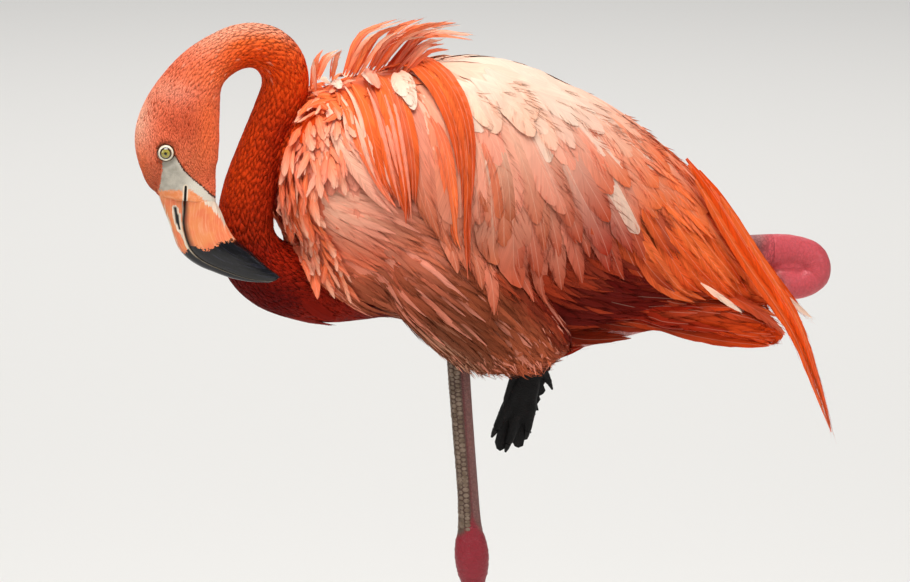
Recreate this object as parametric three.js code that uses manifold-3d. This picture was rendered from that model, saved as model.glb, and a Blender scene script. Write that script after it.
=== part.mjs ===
// A life-size American flamingo standing on its left leg, preening, with the right leg folded.
// Millimetres, +Z up. The bird faces -X and its left side is -Y.
// The origin is on the floor under the middle toe of the standing foot.

import * as THREE from "three";
import Module from "manifold-3d";

const wasm = await Module();
wasm.setup();

// ---- driving sizes ----

const gap = 0.3;                   // kept between solids that touch
const bodySides = 20;              // corners of a section of the trunk and the plumage
const neckSides = 16;
const headSides = 20;
const limbSides = 10;

const hockX = 10;                  // middle of the standing hock
const hockY = -12;
const hockZ = 261;
const footX = 30;                  // where the standing shank meets its foot
const footY = 0;
const toeSpread = 31;              // degrees between two front toes on the floor
const foldedSpread = 10;           // and on the lifted foot

const finishes = {
  neck: { color: "#e0491e", roughness: 0.85, metalness: 0 },
  plumage: { color: "#f0875f", roughness: 0.85, metalness: 0 },
  cloak: { color: "#ef6a3a", roughness: 0.8, metalness: 0 },
  quill: { color: "#f2602a", roughness: 0.75, metalness: 0 },
  leg: { color: "#8e6a66", roughness: 0.6, metalness: 0 },
  hock: { color: "#b0283c", roughness: 0.55, metalness: 0 },
  blackFoot: { color: "#1c1818", roughness: 0.6, metalness: 0 },
  claw: { color: "#141212", roughness: 0.4, metalness: 0 },
  upperBill: { color: "#ee9a72", roughness: 0.4, metalness: 0 },
  lowerBill: { color: "#e8845c", roughness: 0.4, metalness: 0 },
  eye: { color: "#c8b04a", roughness: 0.1, metalness: 0 },
};

const bird = new THREE.Group();

// ---- shapes ----

const vec = (x, y, z) => new THREE.Vector3(x, y, z);
const leftward = vec(0, 1, 0);     // the side axis of every path that runs fore and aft
const ringAngles = (count) => Array.from({ length: count }, (_, i) => (i / count) * Math.PI * 2);
const blend = (a, b, share) => a + (b - a) * share;

// A power that keeps the sign: below 1 it squares a round section a little.
const bulge = (value, power) => Math.sign(value) * Math.abs(value) ** power;

// A solid from points and triangles, turned so that its faces point out.
function solidOf(points, faces) {
  const volume = faces.reduce((sum, [a, b, c]) => sum + points[a].dot(points[b].clone().cross(points[c])), 0);
  const outward = volume > 0 ? faces : faces.map(([a, b, c]) => [a, c, b]);
  return new wasm.Manifold(new wasm.Mesh({
    numProp: 3,
    vertProperties: Float32Array.from(points.flatMap((point) => point.toArray())),
    triVerts: Uint32Array.from(outward.flat()),
  }));
}

// A closed solid skinned over rings with the same number of points, with a fan at each end.
function loft(rings) {
  const sides = rings[0].length;
  const points = rings.flat();
  const faces = [];
  for (let i = 0; i + 1 < rings.length; i += 1) {
    for (let j = 0; j < sides; j += 1) {
      const a = i * sides + j;
      const b = i * sides + ((j + 1) % sides);
      faces.push([a, b, b + sides], [a, b + sides, a + sides]);
    }
  }
  const cap = (ring, start, turn) => {
    points.push(ring.reduce((sum, point) => sum.add(point), vec(0, 0, 0)).divideScalar(sides));
    for (let j = 0; j < sides; j += 1) {
      const edge = [start + j, start + ((j + 1) % sides)];
      faces.push([edge[turn], edge[1 - turn], points.length - 1]);
    }
  };
  cap(rings[0], 0, 1);
  cap(rings.at(-1), (rings.length - 1) * sides, 0);
  return solidOf(points, faces);
}

// The rings along a smooth path of stations [x, y, z, across, deep]; "across" is measured along `side`.
function sweepRings(stations, { sides, steps, side, from = 0, to = 1, grow = 0 }) {
  const path = new THREE.CatmullRomCurve3(stations.map(([x, y, z]) => vec(x, y, z)));
  const sizes = new THREE.CatmullRomCurve3(stations.map(([, , , across, deep]) => vec(across, deep, 0)));
  return Array.from({ length: steps + 1 }, (_, i) => {
    const t = blend(from, to, i / steps);
    const along = path.getTangent(t);
    const across = side.clone().addScaledVector(along, -side.dot(along)).normalize();
    const deep = along.clone().cross(across);
    const size = sizes.getPoint(t);
    return ringAngles(sides).map((angle) => path.getPoint(t)
      .addScaledVector(across, (size.x + grow) * Math.cos(angle))
      .addScaledVector(deep, (size.y + grow) * Math.sin(angle)));
  });
}

const sweep = (stations, options) => loft(sweepRings(stations, options));

// The rings of one length of a path, from a station to another, short of both by half of the gap.
function lengthRings(stations, first, last, options) {
  const shortBy = gap * 0.6;
  const share = (index, turn) => {
    const [a, b] = [stations[index], stations[index + turn]].map(([x, y, z]) => vec(x, y, z));
    return (index + (turn * shortBy) / a.distanceTo(b)) / (stations.length - 1);
  };
  return sweepRings(stations, { ...options, from: share(first, 1), to: share(last, -1) });
}

// A rounded section of the body across X, of a station [x, top, bottom, half width].
function bodyRing([x, top, bottom, halfWidth], grow) {
  const squareness = 0.86;
  const halfHeight = (top - bottom) / 2;
  return ringAngles(bodySides).map((angle) => vec(
    x,
    (halfWidth + grow) * bulge(Math.cos(angle), squareness),
    bottom + halfHeight + (halfHeight + grow) * bulge(Math.sin(angle), squareness),
  ));
}

const bodyLoft = (stations, grow = 0) => loft(stations.map((station) => bodyRing(station, grow)));

// A slab with an outline in the XZ plane, between two Y places.
function slab(outline, y0, y1) {
  const caps = THREE.ShapeUtils.triangulateShape(outline.map(([x, z]) => new THREE.Vector2(x, z)), []);
  const count = outline.length;
  const corners = [y0, y1].flatMap((y) => outline.map(([x, z]) => vec(x, y, z)));
  const faces = caps.flatMap(([a, b, c]) => [[a, b, c], [a + count, c + count, b + count]]);
  for (let i = 0; i < count; i += 1) {
    const next = (i + 1) % count;
    faces.push([i, i + count, next + count], [i, next + count, next]);
  }
  return solidOf(corners, faces);
}

const clearOf = (solid, rooms) => rooms.reduce((left, room) => left.subtract(room), solid);

// A cut can leave crumbs beside the piece that counts.
const mainPiece = (solid) => solid.decompose().reduce((a, b) => (a.volume() > b.volume() ? a : b));

function addPart(name, solid, finish) {
  const { vertProperties, triVerts } = mainPiece(solid).getMesh();
  const geometry = new THREE.BufferGeometry();
  geometry.setAttribute("position", new THREE.BufferAttribute(new Float32Array(vertProperties), 3));
  geometry.setIndex(new THREE.BufferAttribute(new Uint32Array(triVerts), 1));
  geometry.computeVertexNormals();
  const mesh = new THREE.Mesh(geometry, new THREE.MeshStandardMaterial(finishes[finish]));
  mesh.name = name;
  bird.add(mesh);
}

// ---- trunk: stations [x, top, bottom, half width] of the body under its wings ----

const trunkStations = [
  [-134, 584, 512, 20],
  [-122, 612, 472, 42],
  [-92, 634, 452, 59],
  [-50, 645, 448, 67],
  [0, 648, 437, 69],
  [45, 638, 429, 67],
  [90, 614, 431, 60],
  [135, 580, 434, 50],
  [180, 542, 436, 37],
  [215, 508, 440, 25],
  [238, 484, 452, 12],
];
const trunkRoom = bodyLoft(trunkStations, gap);
addPart("trunk", bodyLoft(trunkStations), "plumage");

// ---- neck and head: one smooth path from the breast, up, over the arch and down to the bill ----

// The head hangs in its own upright plane, turned towards the left.
const headYaw = THREE.MathUtils.degToRad(-18);
const headOrigin = vec(-227.4, -13.4, 605.4);
const headAlong = vec(Math.cos(headYaw), Math.sin(headYaw), 0);
const headSide = vec(-Math.sin(headYaw), Math.cos(headYaw), 0);

// A place in the head from its forward, sideways and upward parts.
const headPoint = (forward, sideways, up) => headOrigin.clone()
  .addScaledVector(headAlong, forward)
  .addScaledVector(headSide, sideways)
  .add(vec(0, 0, up));
const headStation = ([forward, up, wide, deep]) => [...headPoint(forward, 0, up).toArray(), wide, deep];

// [x, y, z, half width, half depth]
const spine = [
  [-57, 0, 491, 36, 39],
  [-102, 0, 483, 31, 33],
  [-135, 1, 487, 28, 31],
  [-157, 2, 499, 26.5, 28.4],
  [-168, 3, 518, 24.5, 25.6],
  [-169, 3, 539, 22.5, 23.6],
  [-165, 2, 562, 21.5, 22.6],
  [-155, 1, 591, 20.5, 21.1],
  [-144, -1, 618, 20.5, 21.1],
  [-138, -4, 642, 20, 20.3],
  [-144, -7, 660, 20, 20.5],
  [-158, -10, 671, 19.5, 20],
  [-177, -12, 672.5, 19, 19.3],
  [-198, -15, 664, 19, 19.5],
  ...[
    [15.6, 46.2, 20, 22.4],
    [5.5, 24, 21.5, 29.4],
    [0, 0, 22, 33.3],
    [1.8, -22, 19.5, 30.6],
    [4.8, -35, 16, 26],
  ].map(headStation),
];
const nape = 14;                   // the station where the neck becomes the head

// [first station, last station, steps] of each length
const neckLengths = {
  neck_base: [0, 3, 5],
  neck_lower: [3, 6, 6],
  neck_middle: [6, 9, 4],
  neck_arch: [9, 12, 6],
  neck_upper: [12, nape, 4],
};
const neckRooms = [];

function makeNeck() {
  for (const [name, [first, last, steps]] of Object.entries(neckLengths)) {
    const neckLength = (grow) =>
      loft(lengthRings(spine, first, last, { sides: neckSides, steps, side: leftward, grow }));
    addPart(name, neckLength(0).subtract(trunkRoom), "neck");
    neckRooms.push(neckLength(gap * 3));
  }
}
makeNeck();

// ---- head and eyes ----

const eye = { forward: -7.9, up: -9.6, sideways: 16.6, radius: 7.4 };
const billBase = { ridge: [-15.8, -42.8], chin: [28.6, -49.4], halfWidth: 13.6 };

// A ball of rings from pole to pole along the head's side axis.
function eyeball(side, grow) {
  const radius = eye.radius + grow;
  const latitudes = [8, 30, 52, 75, 105, 128, 150, 172].map(THREE.MathUtils.degToRad);
  return loft(latitudes.map((latitude) => ringAngles(12).map((angle) => headPoint(
    eye.forward + radius * Math.sin(latitude) * Math.cos(angle),
    side * (eye.sideways + radius * Math.cos(latitude)),
    eye.up + radius * Math.sin(latitude) * Math.sin(angle),
  ))));
}

// The head ends in the slanted plane that the bill starts from, just above it.
function headEnd() {
  return ringAngles(headSides).map((angle) => {
    const share = (1 + Math.sin(angle)) / 2;
    const [forward, up] = [0, 1].map((axis) => blend(billBase.ridge[axis], billBase.chin[axis], share));
    return headPoint(forward, billBase.halfWidth * Math.cos(angle), up + 2 * gap);
  });
}

function makeHead() {
  const rings = lengthRings(spine, nape, spine.length - 1, { sides: headSides, steps: 9, side: headSide });
  const sockets = [-1, 1].map((side) => eyeball(side, gap));
  addPart("head", clearOf(loft([...rings, headEnd()]), sockets), "neck");
  addPart("eye_left", eyeball(-1, 0), "eye");
  addPart("eye_right", eyeball(1, 0), "eye");
}
makeHead();

// ---- bill: its sections fan round the bend, each from the ridge to the gape to the chin ----

// [[ridge forward, up], [gape forward, up], [chin forward, up], half width]
const billStations = [
  [[-15.4, -42.9], [5.8, -46.8], [28.2, -49.4], 12.6],
  [[-10.9, -55.4], [5.1, -55.0], [33.2, -58.5], 12.2],
  [[-6.5, -67.0], [5.0, -66.4], [37.6, -69.5], 12.0],
  [[-0.6, -84.0], [8.2, -80.6], [44.0, -79.7], 11.8],
  [[6.2, -92.9], [13.9, -89.4], [50.2, -84.6], 11.0],
  [[16.1, -99.9], [22.3, -95.8], [56.6, -89.9], 9.6],
  [[26.6, -104.4], [34.0, -101.6], [62.5, -95.6], 7.6],
  [[39.1, -109.1], [48.0, -107.2], [68.3, -101.1], 5.6],
  [[54.6, -112.4], [62.0, -110.6], [74.4, -105.7], 3.8],
  [[69.0, -113.2], [73.4, -111.8], [78.0, -108.8], 2.2],
];
const billSides = 8;
const billSquareness = 0.75;
const lidWidth = 0.86;             // the upper half is this much narrower than the lower

// Half of an oval section: a flat face along the gape and a bulge to the ridge or to the chin.
function billRing([ridge, gape, chin, halfWidth], lower) {
  const edge = lower ? chin : ridge;
  const wide = lower ? halfWidth : halfWidth * lidWidth;
  const start = gap / 2 / Math.hypot(edge[0] - gape[0], edge[1] - gape[1]);
  return Array.from({ length: billSides + 1 }, (_, i) => {
    const angle = (i / billSides) * Math.PI;
    const reach = blend(start, 1, bulge(Math.sin(angle), billSquareness));
    const [forward, up] = [0, 1].map((axis) => blend(gape[axis], edge[axis], reach));
    return headPoint(forward, wide * bulge(Math.cos(angle), billSquareness), up);
  });
}
addPart("bill_upper", loft(billStations.map((station) => billRing(station, false))), "upperBill");
addPart("bill_lower", loft(billStations.map((station) => billRing(station, true))), "lowerBill");

// ---- folded wings: a cloak of plumage over the trunk, parted into its feather tracts ----

const cloakStations = [
  [-152, 600, 552, 40],
  [-145, 615, 526, 52],
  [-128, 634, 504, 63],
  [-100, 646, 486, 73],
  [-60, 655, 466, 79],
  [0, 662, 450, 82],
  [45, 656, 441, 80],
  [90, 636, 440, 74],
  [130, 614, 442, 66],
  [170, 584, 444, 54],
  [205, 549, 446, 43],
  [236, 510, 446, 31],
  [264, 470, 444, 17],
];
const cloakRoom = bodyLoft(cloakStations, gap);

// Each tract lies between two slanted lines, given by their x at the top and at the bottom.
const tractLines = [
  [-170, -170],
  [-112, -84],
  [-8, 52],
  [96, 138],
  [290, 290],
];
const tractHeights = [700, 400];
const tractReach = 100;            // well past the plumage on either side

function makeWings() {
  const cloak = clearOf(bodyLoft(cloakStations), [trunkRoom, ...neckRooms]);
  const seam = gap / 2;
  ["ruff", "scapulars", "coverts", "tertials"].forEach((tract, i) => {
    const front = tractHeights.map((z, end) => [tractLines[i][end] + seam, z]);
    const rear = tractHeights.map((z, end) => [tractLines[i + 1][end] - seam, z]);
    const outline = [...front, ...rear.reverse()];
    addPart(`${tract}_left`, cloak.intersect(slab(outline, -tractReach, -seam)), "cloak");
    addPart(`${tract}_right`, cloak.intersect(slab(outline, seam, tractReach)), "cloak");
  });
}
makeWings();

// ---- plumes: long loose feathers that droop past the tail ----

const plumes = {
  plume_left: [
    [208, -38, 530, 3, 5],
    [234, -42, 486, 3, 14],
    [254, -43, 457, 3, 15],
    [269, -43, 432, 2.6, 12.5],
    [279, -42, 408, 2.2, 9],
    [291, -41, 375, 1.6, 5],
    [300, -40, 348, 1, 1.6],
  ],
  plume_right: [
    [212, 34, 532, 3, 11],
    [248, 40, 490, 3, 13],
    [276, 42, 462, 2.6, 10],
    [297, 42, 440, 2, 6],
    [310, 42, 426, 1, 1.6],
  ],
};
for (const [name, stations] of Object.entries(plumes)) {
  const plume = sweep(stations, { sides: 8, steps: 10, side: leftward });
  addPart(name, plume.subtract(cloakRoom), "quill");
}

// ---- crest: ruffled feathers that stand up from the shoulders, on a low ridge along the back ----

const crestY = -13;
const crestRidge = [
  [-126, crestY, 630, 9, 6],
  [-80, crestY, 648, 13, 6],
  [-30, crestY, 658, 9, 5],
];
// [root x, root z, tip x, tip z]
const crestFeathers = [
  [-122, 630, -114, 665],
  [-108, 638, -92, 668],
  [-96, 642, -66, 686],
  [-80, 646, -44, 684],
  [-62, 650, -12, 682],
  [-44, 654, 4, 670],
];

function makeCrest() {
  let crest = sweep(crestRidge, { sides: 6, steps: 4, side: leftward });
  crestFeathers.forEach(([rootX, rootZ, tipX, tipZ], i) => {
    const y = crestY + (i % 2 ? 3 : -3);
    const feather = [
      [rootX, y, rootZ, 5, 3],
      [blend(rootX, tipX, 0.45), y, blend(rootZ, tipZ, 0.6), 6, 2.2],
      [tipX, y, tipZ, 1.4, 0.8],
    ];
    crest = crest.add(sweep(feather, { sides: 6, steps: 3, side: leftward }));
  });
  addPart("crest", clearOf(crest, [cloakRoom, ...neckRooms]), "quill");
}
makeCrest();

// ---- tail ----

const tailStations = [
  [150, 462, 436, 34],
  [190, 462, 428, 35],
  [225, 456, 421, 31],
  [252, 444, 415, 25],
  [268, 428, 413, 15],
];
addPart("tail", clearOf(bodyLoft(tailStations), [cloakRoom, trunkRoom]), "quill");

// ---- legs: thigh plumage, shin, hock and shank ----

// [z, front, rear, y, half width] of the plumage that hangs round the standing thigh
const thighStations = [
  [520, -70, 10, -52, 24],
  [500, -76, 30, -50, 33],
  [476, -72, 54, -47, 37],
  [452, -54, 74, -43, 34],
  [433, -34, 84, -40, 28],
  [421, -17, 76, -38, 20],
  [413, 4, 62, -38, 9],
];
// the folded thigh lies along the right flank: [x, y, z, across, deep], as in the legs below
const foldedThigh = [
  [20, 52, 486, 26, 36],
  [60, 60, 482, 24, 34],
  [110, 68, 479, 20, 28],
  [160, 72, 478, 16, 21],
  [205, 73, 479, 12, 14],
  [232, 74, 478, 10, 10.5],
];
const legLeft = [
  [-5.5, -23, 429, 7.4, 8.8],
  [-1, -20, 380, 7.2, 8.4],
  [5, -16, 320, 7.2, 8.2],
  [hockX - 2, hockY - 1, hockZ + 26, 8, 9.2],
  [hockX - 1, hockY, hockZ + 12, 10.5, 12.4],
  [hockX, hockY, hockZ, 11.5, 13.6],
  [hockX + 1, hockY + 0.6, hockZ - 13, 10.5, 12],
  [hockX + 2, hockY + 1.2, hockZ - 27, 7.6, 8.6],
  [hockX + 6, hockY + 3.5, hockZ - 71, 6.6, 7.6],
  [hockX + 13, hockY + 7, hockZ - 161, 6.4, 7.4],
  [footX - 0.5, footY, 32, 7, 8],
  [footX, footY, 11.4, 9, 9.6],
];
const legRight = [
  [233.2, 74.1, 478, 7.6, 9.4],
  [262, 75, 478.5, 8.2, 10.5],
  [291, 75.5, 475.5, 9, 13.5],
  [309, 75.5, 474.5, 10, 12.8],
  [326, 75, 468, 11.5, 12.8],
  [329, 74, 455, 11.5, 12.8],
  [316, 73, 447.5, 10.5, 12],
  [297, 71, 447.5, 9.2, 11],
  [250, 62, 439, 6.8, 8],
  [180, 46, 430, 6.4, 7.6],
  [88, 27, 418, 7, 8],
];
// the bend of the folded leg is filled by the round end of the hock: middle and radii
const hockKnob = { middle: [316, 74, 461.5], radii: [14.5, 10.5, 14.5], sides: 16 };
const limb = (stations, [first, last, steps], grow = 0) =>
  loft(lengthRings(stations, first, last, { sides: limbSides, steps, side: leftward, grow }));

// [first station, last station, steps] of each length
const limbLengths = {
  left: { shin: [0, 3, 3], hock: [3, 7, 8], shank: [7, 11, 4] },
  right: { shin: [0, 2, 2], hock: [2, 7, 9], shank: [7, 10, 3] },
};
const shankRooms = {
  left: limb(legLeft, limbLengths.left.shank, gap),
  right: limb(legRight, limbLengths.right.shank, gap),
};

function thighRing([z, front, rear, y, halfWidth]) {
  return ringAngles(bodySides).map((angle) => vec(
    (front + rear) / 2 + ((rear - front) / 2) * Math.cos(angle),
    y + halfWidth * Math.sin(angle),
    z,
  ));
}

function makeLegs() {
  const rooms = [cloakRoom, trunkRoom, limb(legLeft, limbLengths.left.shin, gap)];
  addPart("thigh_left", clearOf(loft(thighStations.map(thighRing)), rooms), "plumage");
  const drumstick = sweep(foldedThigh, { sides: 12, steps: 8, side: leftward });
  addPart("thigh_right", clearOf(drumstick, [cloakRoom, trunkRoom]), "plumage");
  const knob = wasm.Manifold.sphere(1, hockKnob.sides).scale(hockKnob.radii).translate(hockKnob.middle);
  for (const [side, stations] of [["left", legLeft], ["right", legRight]]) {
    for (const [name, range] of Object.entries(limbLengths[side])) {
      const length = limb(stations, range);
      const filled = name === "hock" && side === "right";
      addPart(`${name}_${side}`, filled ? length.add(knob) : length, name === "hock" ? "hock" : "leg");
    }
  }
}
makeLegs();

// ---- feet: a pad, three webbed front toes, a small hind toe and their claws ----

const toeSides = 6;
const toeSquareness = 0.7;
const clawLength = 9;
const pad = { radius: 12.5, height: 12, sides: 12 };
const web = { thick: 1.4, lift: 0.8, reach: 0.86, drawnIn: 0.26 };
const toes = [
  { name: "inner", place: 1, length: 66 },
  { name: "middle", place: 0, length: 80 },
  { name: "outer", place: -1, length: 72 },
];
// [share of the pad's radius or of the height, share of the height]
const padProfile = [
  [1, 0],
  [1.04, 0.42],
  [0.86, 0.75],
  [0.62, 1],
];
// Joint pads swell along a toe: [share of its length, half width, height].
const toeProfile = [
  [0.12, 6.2, 9],
  [0.3, 5.6, 8.4],
  [0.42, 6.2, 8.6],
  [0.6, 4.9, 7.2],
  [0.72, 5.5, 7.4],
  [0.88, 4.2, 6],
  [1, 3.4, 5],
];
// The hind toe slants down to the floor: [distance past the pad, half width, height, lift].
const hindToe = [
  [0.6, 3.6, 6, 3],
  [9, 3.2, 5, 1],
  [16, 2.6, 4, 0],
];
const hindClaw = [
  [16.3, 2, 3, 0],
  [22, 0.8, 1.2, 0],
];

// A foot's sole touches the plane through its origin that faces away from `up`.
function footFrame(origin, ahead, up) {
  const forward = ahead.clone().normalize();
  const above = up.clone().addScaledVector(forward, -up.dot(forward)).normalize();
  return { origin, forward, above, across: above.clone().cross(forward) };
}

// A place in a foot: along a direction turned by `turn` degrees, beside it and above the sole.
function footPoint(frame, turn, along, beside, above) {
  const angle = THREE.MathUtils.degToRad(turn);
  const [ahead, aside] = [Math.cos(angle), Math.sin(angle)];
  return frame.origin.clone()
    .addScaledVector(frame.forward, along * ahead - beside * aside)
    .addScaledVector(frame.across, along * aside + beside * ahead)
    .addScaledVector(frame.above, above);
}

// A toe's section has a flat sole and a round top.
function toeRing(frame, turn, [along, halfWidth, height, lift = 0]) {
  return Array.from({ length: toeSides + 1 }, (_, i) => {
    const angle = (i / toeSides) * Math.PI;
    const beside = halfWidth * bulge(Math.cos(angle), toeSquareness);
    const above = lift + height * bulge(Math.sin(angle), toeSquareness);
    return footPoint(frame, turn, along, beside, above);
  });
}
const toeLoft = (frame, turn, stations) => loft(stations.map((station) => toeRing(frame, turn, station)));

function padRing(frame, radius, above) {
  return ringAngles(pad.sides).map((angle) =>
    footPoint(frame, 0, radius * Math.cos(angle), radius * Math.sin(angle), above));
}

// A web spans two toes, with its free edge drawn in between them.
function webSheet(frame, spread, first, second) {
  const edge = Array.from({ length: 7 }, (_, i) => {
    const share = i / 6;
    const reach = blend(first.length, second.length, share) * web.reach;
    const turn = blend(first.place, second.place, share) * spread;
    return [turn, reach * (1 - web.drawnIn * Math.sin(share * Math.PI))];
  });
  const heel = [blend(first.place, second.place, 0.5) * spread, pad.radius * 0.8];
  return loft([web.lift, web.lift + web.thick].map((above) =>
    [heel, ...edge].map(([turn, along]) => footPoint(frame, turn, along, 0, above))));
}

function makeFoot(side, frame, { spread, hindTurn, finish }) {
  const widest = Math.max(...padProfile.map(([share]) => share)) * pad.radius;
  const padRoom = loft([-1, pad.height + 2].map((above) => padRing(frame, widest + gap, above)));
  const padRings = padProfile.map(([wide, high]) => padRing(frame, wide * pad.radius, high * pad.height));
  addPart(`foot_${side}`, loft(padRings).subtract(shankRooms[side]), finish);

  const toeRooms = [];
  for (const { name, place, length } of toes) {
    const turn = place * spread;
    const stations = toeProfile.map(([share, wide, high]) => [share * length, wide, high]);
    addPart(`toe_${name}_${side}`, clearOf(toeLoft(frame, turn, stations), [padRoom, ...toeRooms]), finish);
    const claw = [
      [length + gap, 2.8, 4.2],
      [length + clawLength * 0.6, 2, 3],
      [length + clawLength, 0.8, 1.2],
    ];
    addPart(`claw_${name}_${side}`, toeLoft(frame, turn, claw), "claw");
    const room = stations.map(([along, wide, high]) => [along, wide + gap, high + 2 * gap, -gap]);
    toeRooms.push(toeLoft(frame, turn, room));
  }

  const middle = toes[1];
  for (const outside of [toes[0], toes[2]]) {
    const sheet = clearOf(webSheet(frame, spread, outside, middle), [padRoom, ...toeRooms]);
    if (!sheet.isEmpty()) addPart(`web_${outside.name}_${side}`, sheet, finish);
  }

  const pastPad = ([past, ...size]) => [pad.radius + past, ...size];
  const hind = toeLoft(frame, hindTurn, hindToe.map(pastPad));
  addPart(`toe_hind_${side}`, clearOf(hind, [padRoom, shankRooms[side], ...toeRooms]), finish);
  addPart(`claw_hind_${side}`, toeLoft(frame, hindTurn, hindClaw.map(pastPad)), "claw");
}

const standing = footFrame(vec(footX, footY, 0), vec(-1, 0, 0), vec(0, 0, 1));
makeFoot("left", standing, { spread: toeSpread, hindTurn: 180, finish: "blackFoot" });

// The lifted foot hangs from the folded shank, its toes closed like a fan and facing the left.
const hangFrom = vec(75, 24, 414);
const hangTo = vec(59, 46, 337);
const hanging = footFrame(hangFrom, hangTo.sub(hangFrom), vec(-0.25, -0.95, 0));
makeFoot("right", hanging, { spread: foldedSpread, hindTurn: 38, finish: "blackFoot" });

export default bird;
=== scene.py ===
import math
from itertools import product

import bmesh
import bpy
import numpy as np
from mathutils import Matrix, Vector
from mathutils.bvhtree import BVHTree


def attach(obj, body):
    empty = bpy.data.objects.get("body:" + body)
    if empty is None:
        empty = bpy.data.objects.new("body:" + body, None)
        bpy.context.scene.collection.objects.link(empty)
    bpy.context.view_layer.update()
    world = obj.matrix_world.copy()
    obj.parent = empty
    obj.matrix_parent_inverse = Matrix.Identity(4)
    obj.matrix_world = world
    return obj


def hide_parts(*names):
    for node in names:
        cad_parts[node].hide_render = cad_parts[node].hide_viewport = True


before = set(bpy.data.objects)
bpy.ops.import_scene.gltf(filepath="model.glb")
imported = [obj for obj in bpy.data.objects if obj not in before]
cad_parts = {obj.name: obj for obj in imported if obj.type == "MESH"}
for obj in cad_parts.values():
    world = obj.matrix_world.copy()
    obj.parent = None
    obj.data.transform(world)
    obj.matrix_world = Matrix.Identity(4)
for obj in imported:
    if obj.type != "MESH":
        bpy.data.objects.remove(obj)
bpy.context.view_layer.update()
mm = 0.001  # every size below is in millimetres, every mesh in metres


def unit(v):
    return v / np.maximum(np.linalg.norm(v, axis=-1, keepdims=True), 1e-9)


def dot(a, b):
    return (a * b).sum(-1, keepdims=True)


def smoothstep(low, high, x):
    t = np.clip((x - low) / (high - low), 0, 1)
    return t * t * (3 - 2 * t)


def curveWeights(count, t):
    # weights of a smooth curve through `count` points, read at places t from 0 to count - 1
    t = np.clip(np.asarray(t, float), 0, count - 1)
    i = np.minimum(t.astype(int), count - 2)
    f = t - i
    w = np.zeros((len(t), count + 2))
    rows = np.arange(len(t))
    w[rows, i] = 0.5 * (-f + 2 * f**2 - f**3)
    w[rows, i + 1] = 0.5 * (2 - 5 * f**2 + 3 * f**3)
    w[rows, i + 2] = 0.5 * (f + 4 * f**2 - 3 * f**3)
    w[rows, i + 3] = 0.5 * (-f**2 + f**3)
    inner = w[:, 1:-1].copy()
    inner[:, 0] += 2 * w[:, 0]  # the ends carry on straight
    inner[:, 1] -= w[:, 0]
    inner[:, -1] += 2 * w[:, -1]
    inner[:, -2] -= w[:, -1]
    return inner


def through(stations, t):
    stations = np.asarray(stations, float)
    return curveWeights(len(stations), t) @ stations


def walkedAlong(points):
    # how far along a line of points each of them lies
    return np.concatenate([[0], np.cumsum(np.linalg.norm(np.diff(points, axis=0), axis=1))])


def segmentDistance(p, a, b):
    a, b = np.asarray(a, float), np.asarray(b, float)
    share = np.clip(((p - a) @ (b - a)) / ((b - a) @ (b - a)), 0, 1)[:, None]
    return np.linalg.norm(p - a - share * (b - a), axis=1)


def outlineDistance(p, outline):
    # distance to an outline, more than 0 inside it
    outline = np.asarray(outline, float)
    inside = np.zeros(len(p), bool)
    nearest = np.full(len(p), 1e9)
    for a, b in zip(outline, np.roll(outline, -1, 0)):
        nearest = np.minimum(nearest, segmentDistance(p, a, b))
        crosses = (a[1] > p[:, 1]) != (b[1] > p[:, 1])
        rise = b[1] - a[1] if b[1] != a[1] else 1e-9
        inside ^= crosses & (p[:, 0] < (b[0] - a[0]) * (p[:, 1] - a[1]) / rise + a[0])
    return np.where(inside, nearest, -nearest)


plumage = {  # tones of the feathers, pale to deep; umber and garnet are deepened partly as painted shade of the underside
    "cream": "#edd0ba",
    "shell": "#f0b99c",
    "fawn": "#d59a7c",
    "salmon": "#ee957b",
    "clay": "#c0603d",
    "coral": "#e8714e",
    "orange": "#ee6c33",
    "flame": "#e0480f",
    "ember": "#cf4a1d",
    "umber": "#71341b",
    "rust": "#b23d1e",
    "brick": "#a62106",
    "garnet": "#5e0803",
}


def linear(code):
    parts = np.array([int(code[i:i + 2], 16) for i in (1, 3, 5)]) / 255
    return np.where(parts <= 0.04045, parts / 12.92, ((parts + 0.055) / 1.055) ** 2.4)


def rgba(code):
    return (*linear(code), 1.0)


tone = {name: linear(code) for name, code in plumage.items()}


def ringSolid(rings):
    # a closed solid skinned over rings (count, sides, 3), with a fan at each end
    rings = np.asarray(rings, float)
    count, sides = rings.shape[:2]
    points = np.vstack([rings.reshape(-1, 3), rings[0].mean(0)[None], rings[-1].mean(0)[None]])
    ring = [(j, (j + 1) % sides) for j in range(sides)]
    last = (count - 1) * sides
    faces = [(k + a, k + b, k + b + sides, k + a + sides) for k in range(0, last, sides) for a, b in ring]
    faces += [(b, a, count * sides) for a, b in ring]
    faces += [(last + a, last + b, count * sides + 1) for a, b in ring]
    return points, faces


def solidMesh(name, points, faces, smooth=True):
    mesh = bpy.data.meshes.new(name)
    mesh.from_pydata((np.asarray(points) * mm).tolist(), [], faces)
    body = bmesh.new()
    body.from_mesh(mesh)
    bmesh.ops.recalc_face_normals(body, faces=body.faces)
    body.to_mesh(mesh)
    body.free()
    mesh.shade_smooth() if smooth else mesh.shade_flat()
    return mesh


def addObject(name, mesh, material=None):
    item = bpy.data.objects.new(name, mesh)
    bpy.context.scene.collection.objects.link(item)
    if material:
        mesh.materials.clear()
        mesh.materials.append(material)
    return item


def settled(item, *modifiers):
    # the object with these modifiers as plain mesh: (type, settings) each
    for kind, settings in modifiers:
        modifier = item.modifiers.new(kind.lower(), kind)
        for key, value in settings.items():
            setattr(modifier, key, value)
    depsgraph = bpy.context.evaluated_depsgraph_get()
    mesh = bpy.data.meshes.new_from_object(item.evaluated_get(depsgraph), depsgraph=depsgraph)
    item.modifiers.clear()
    item.data = mesh
    return item


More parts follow.
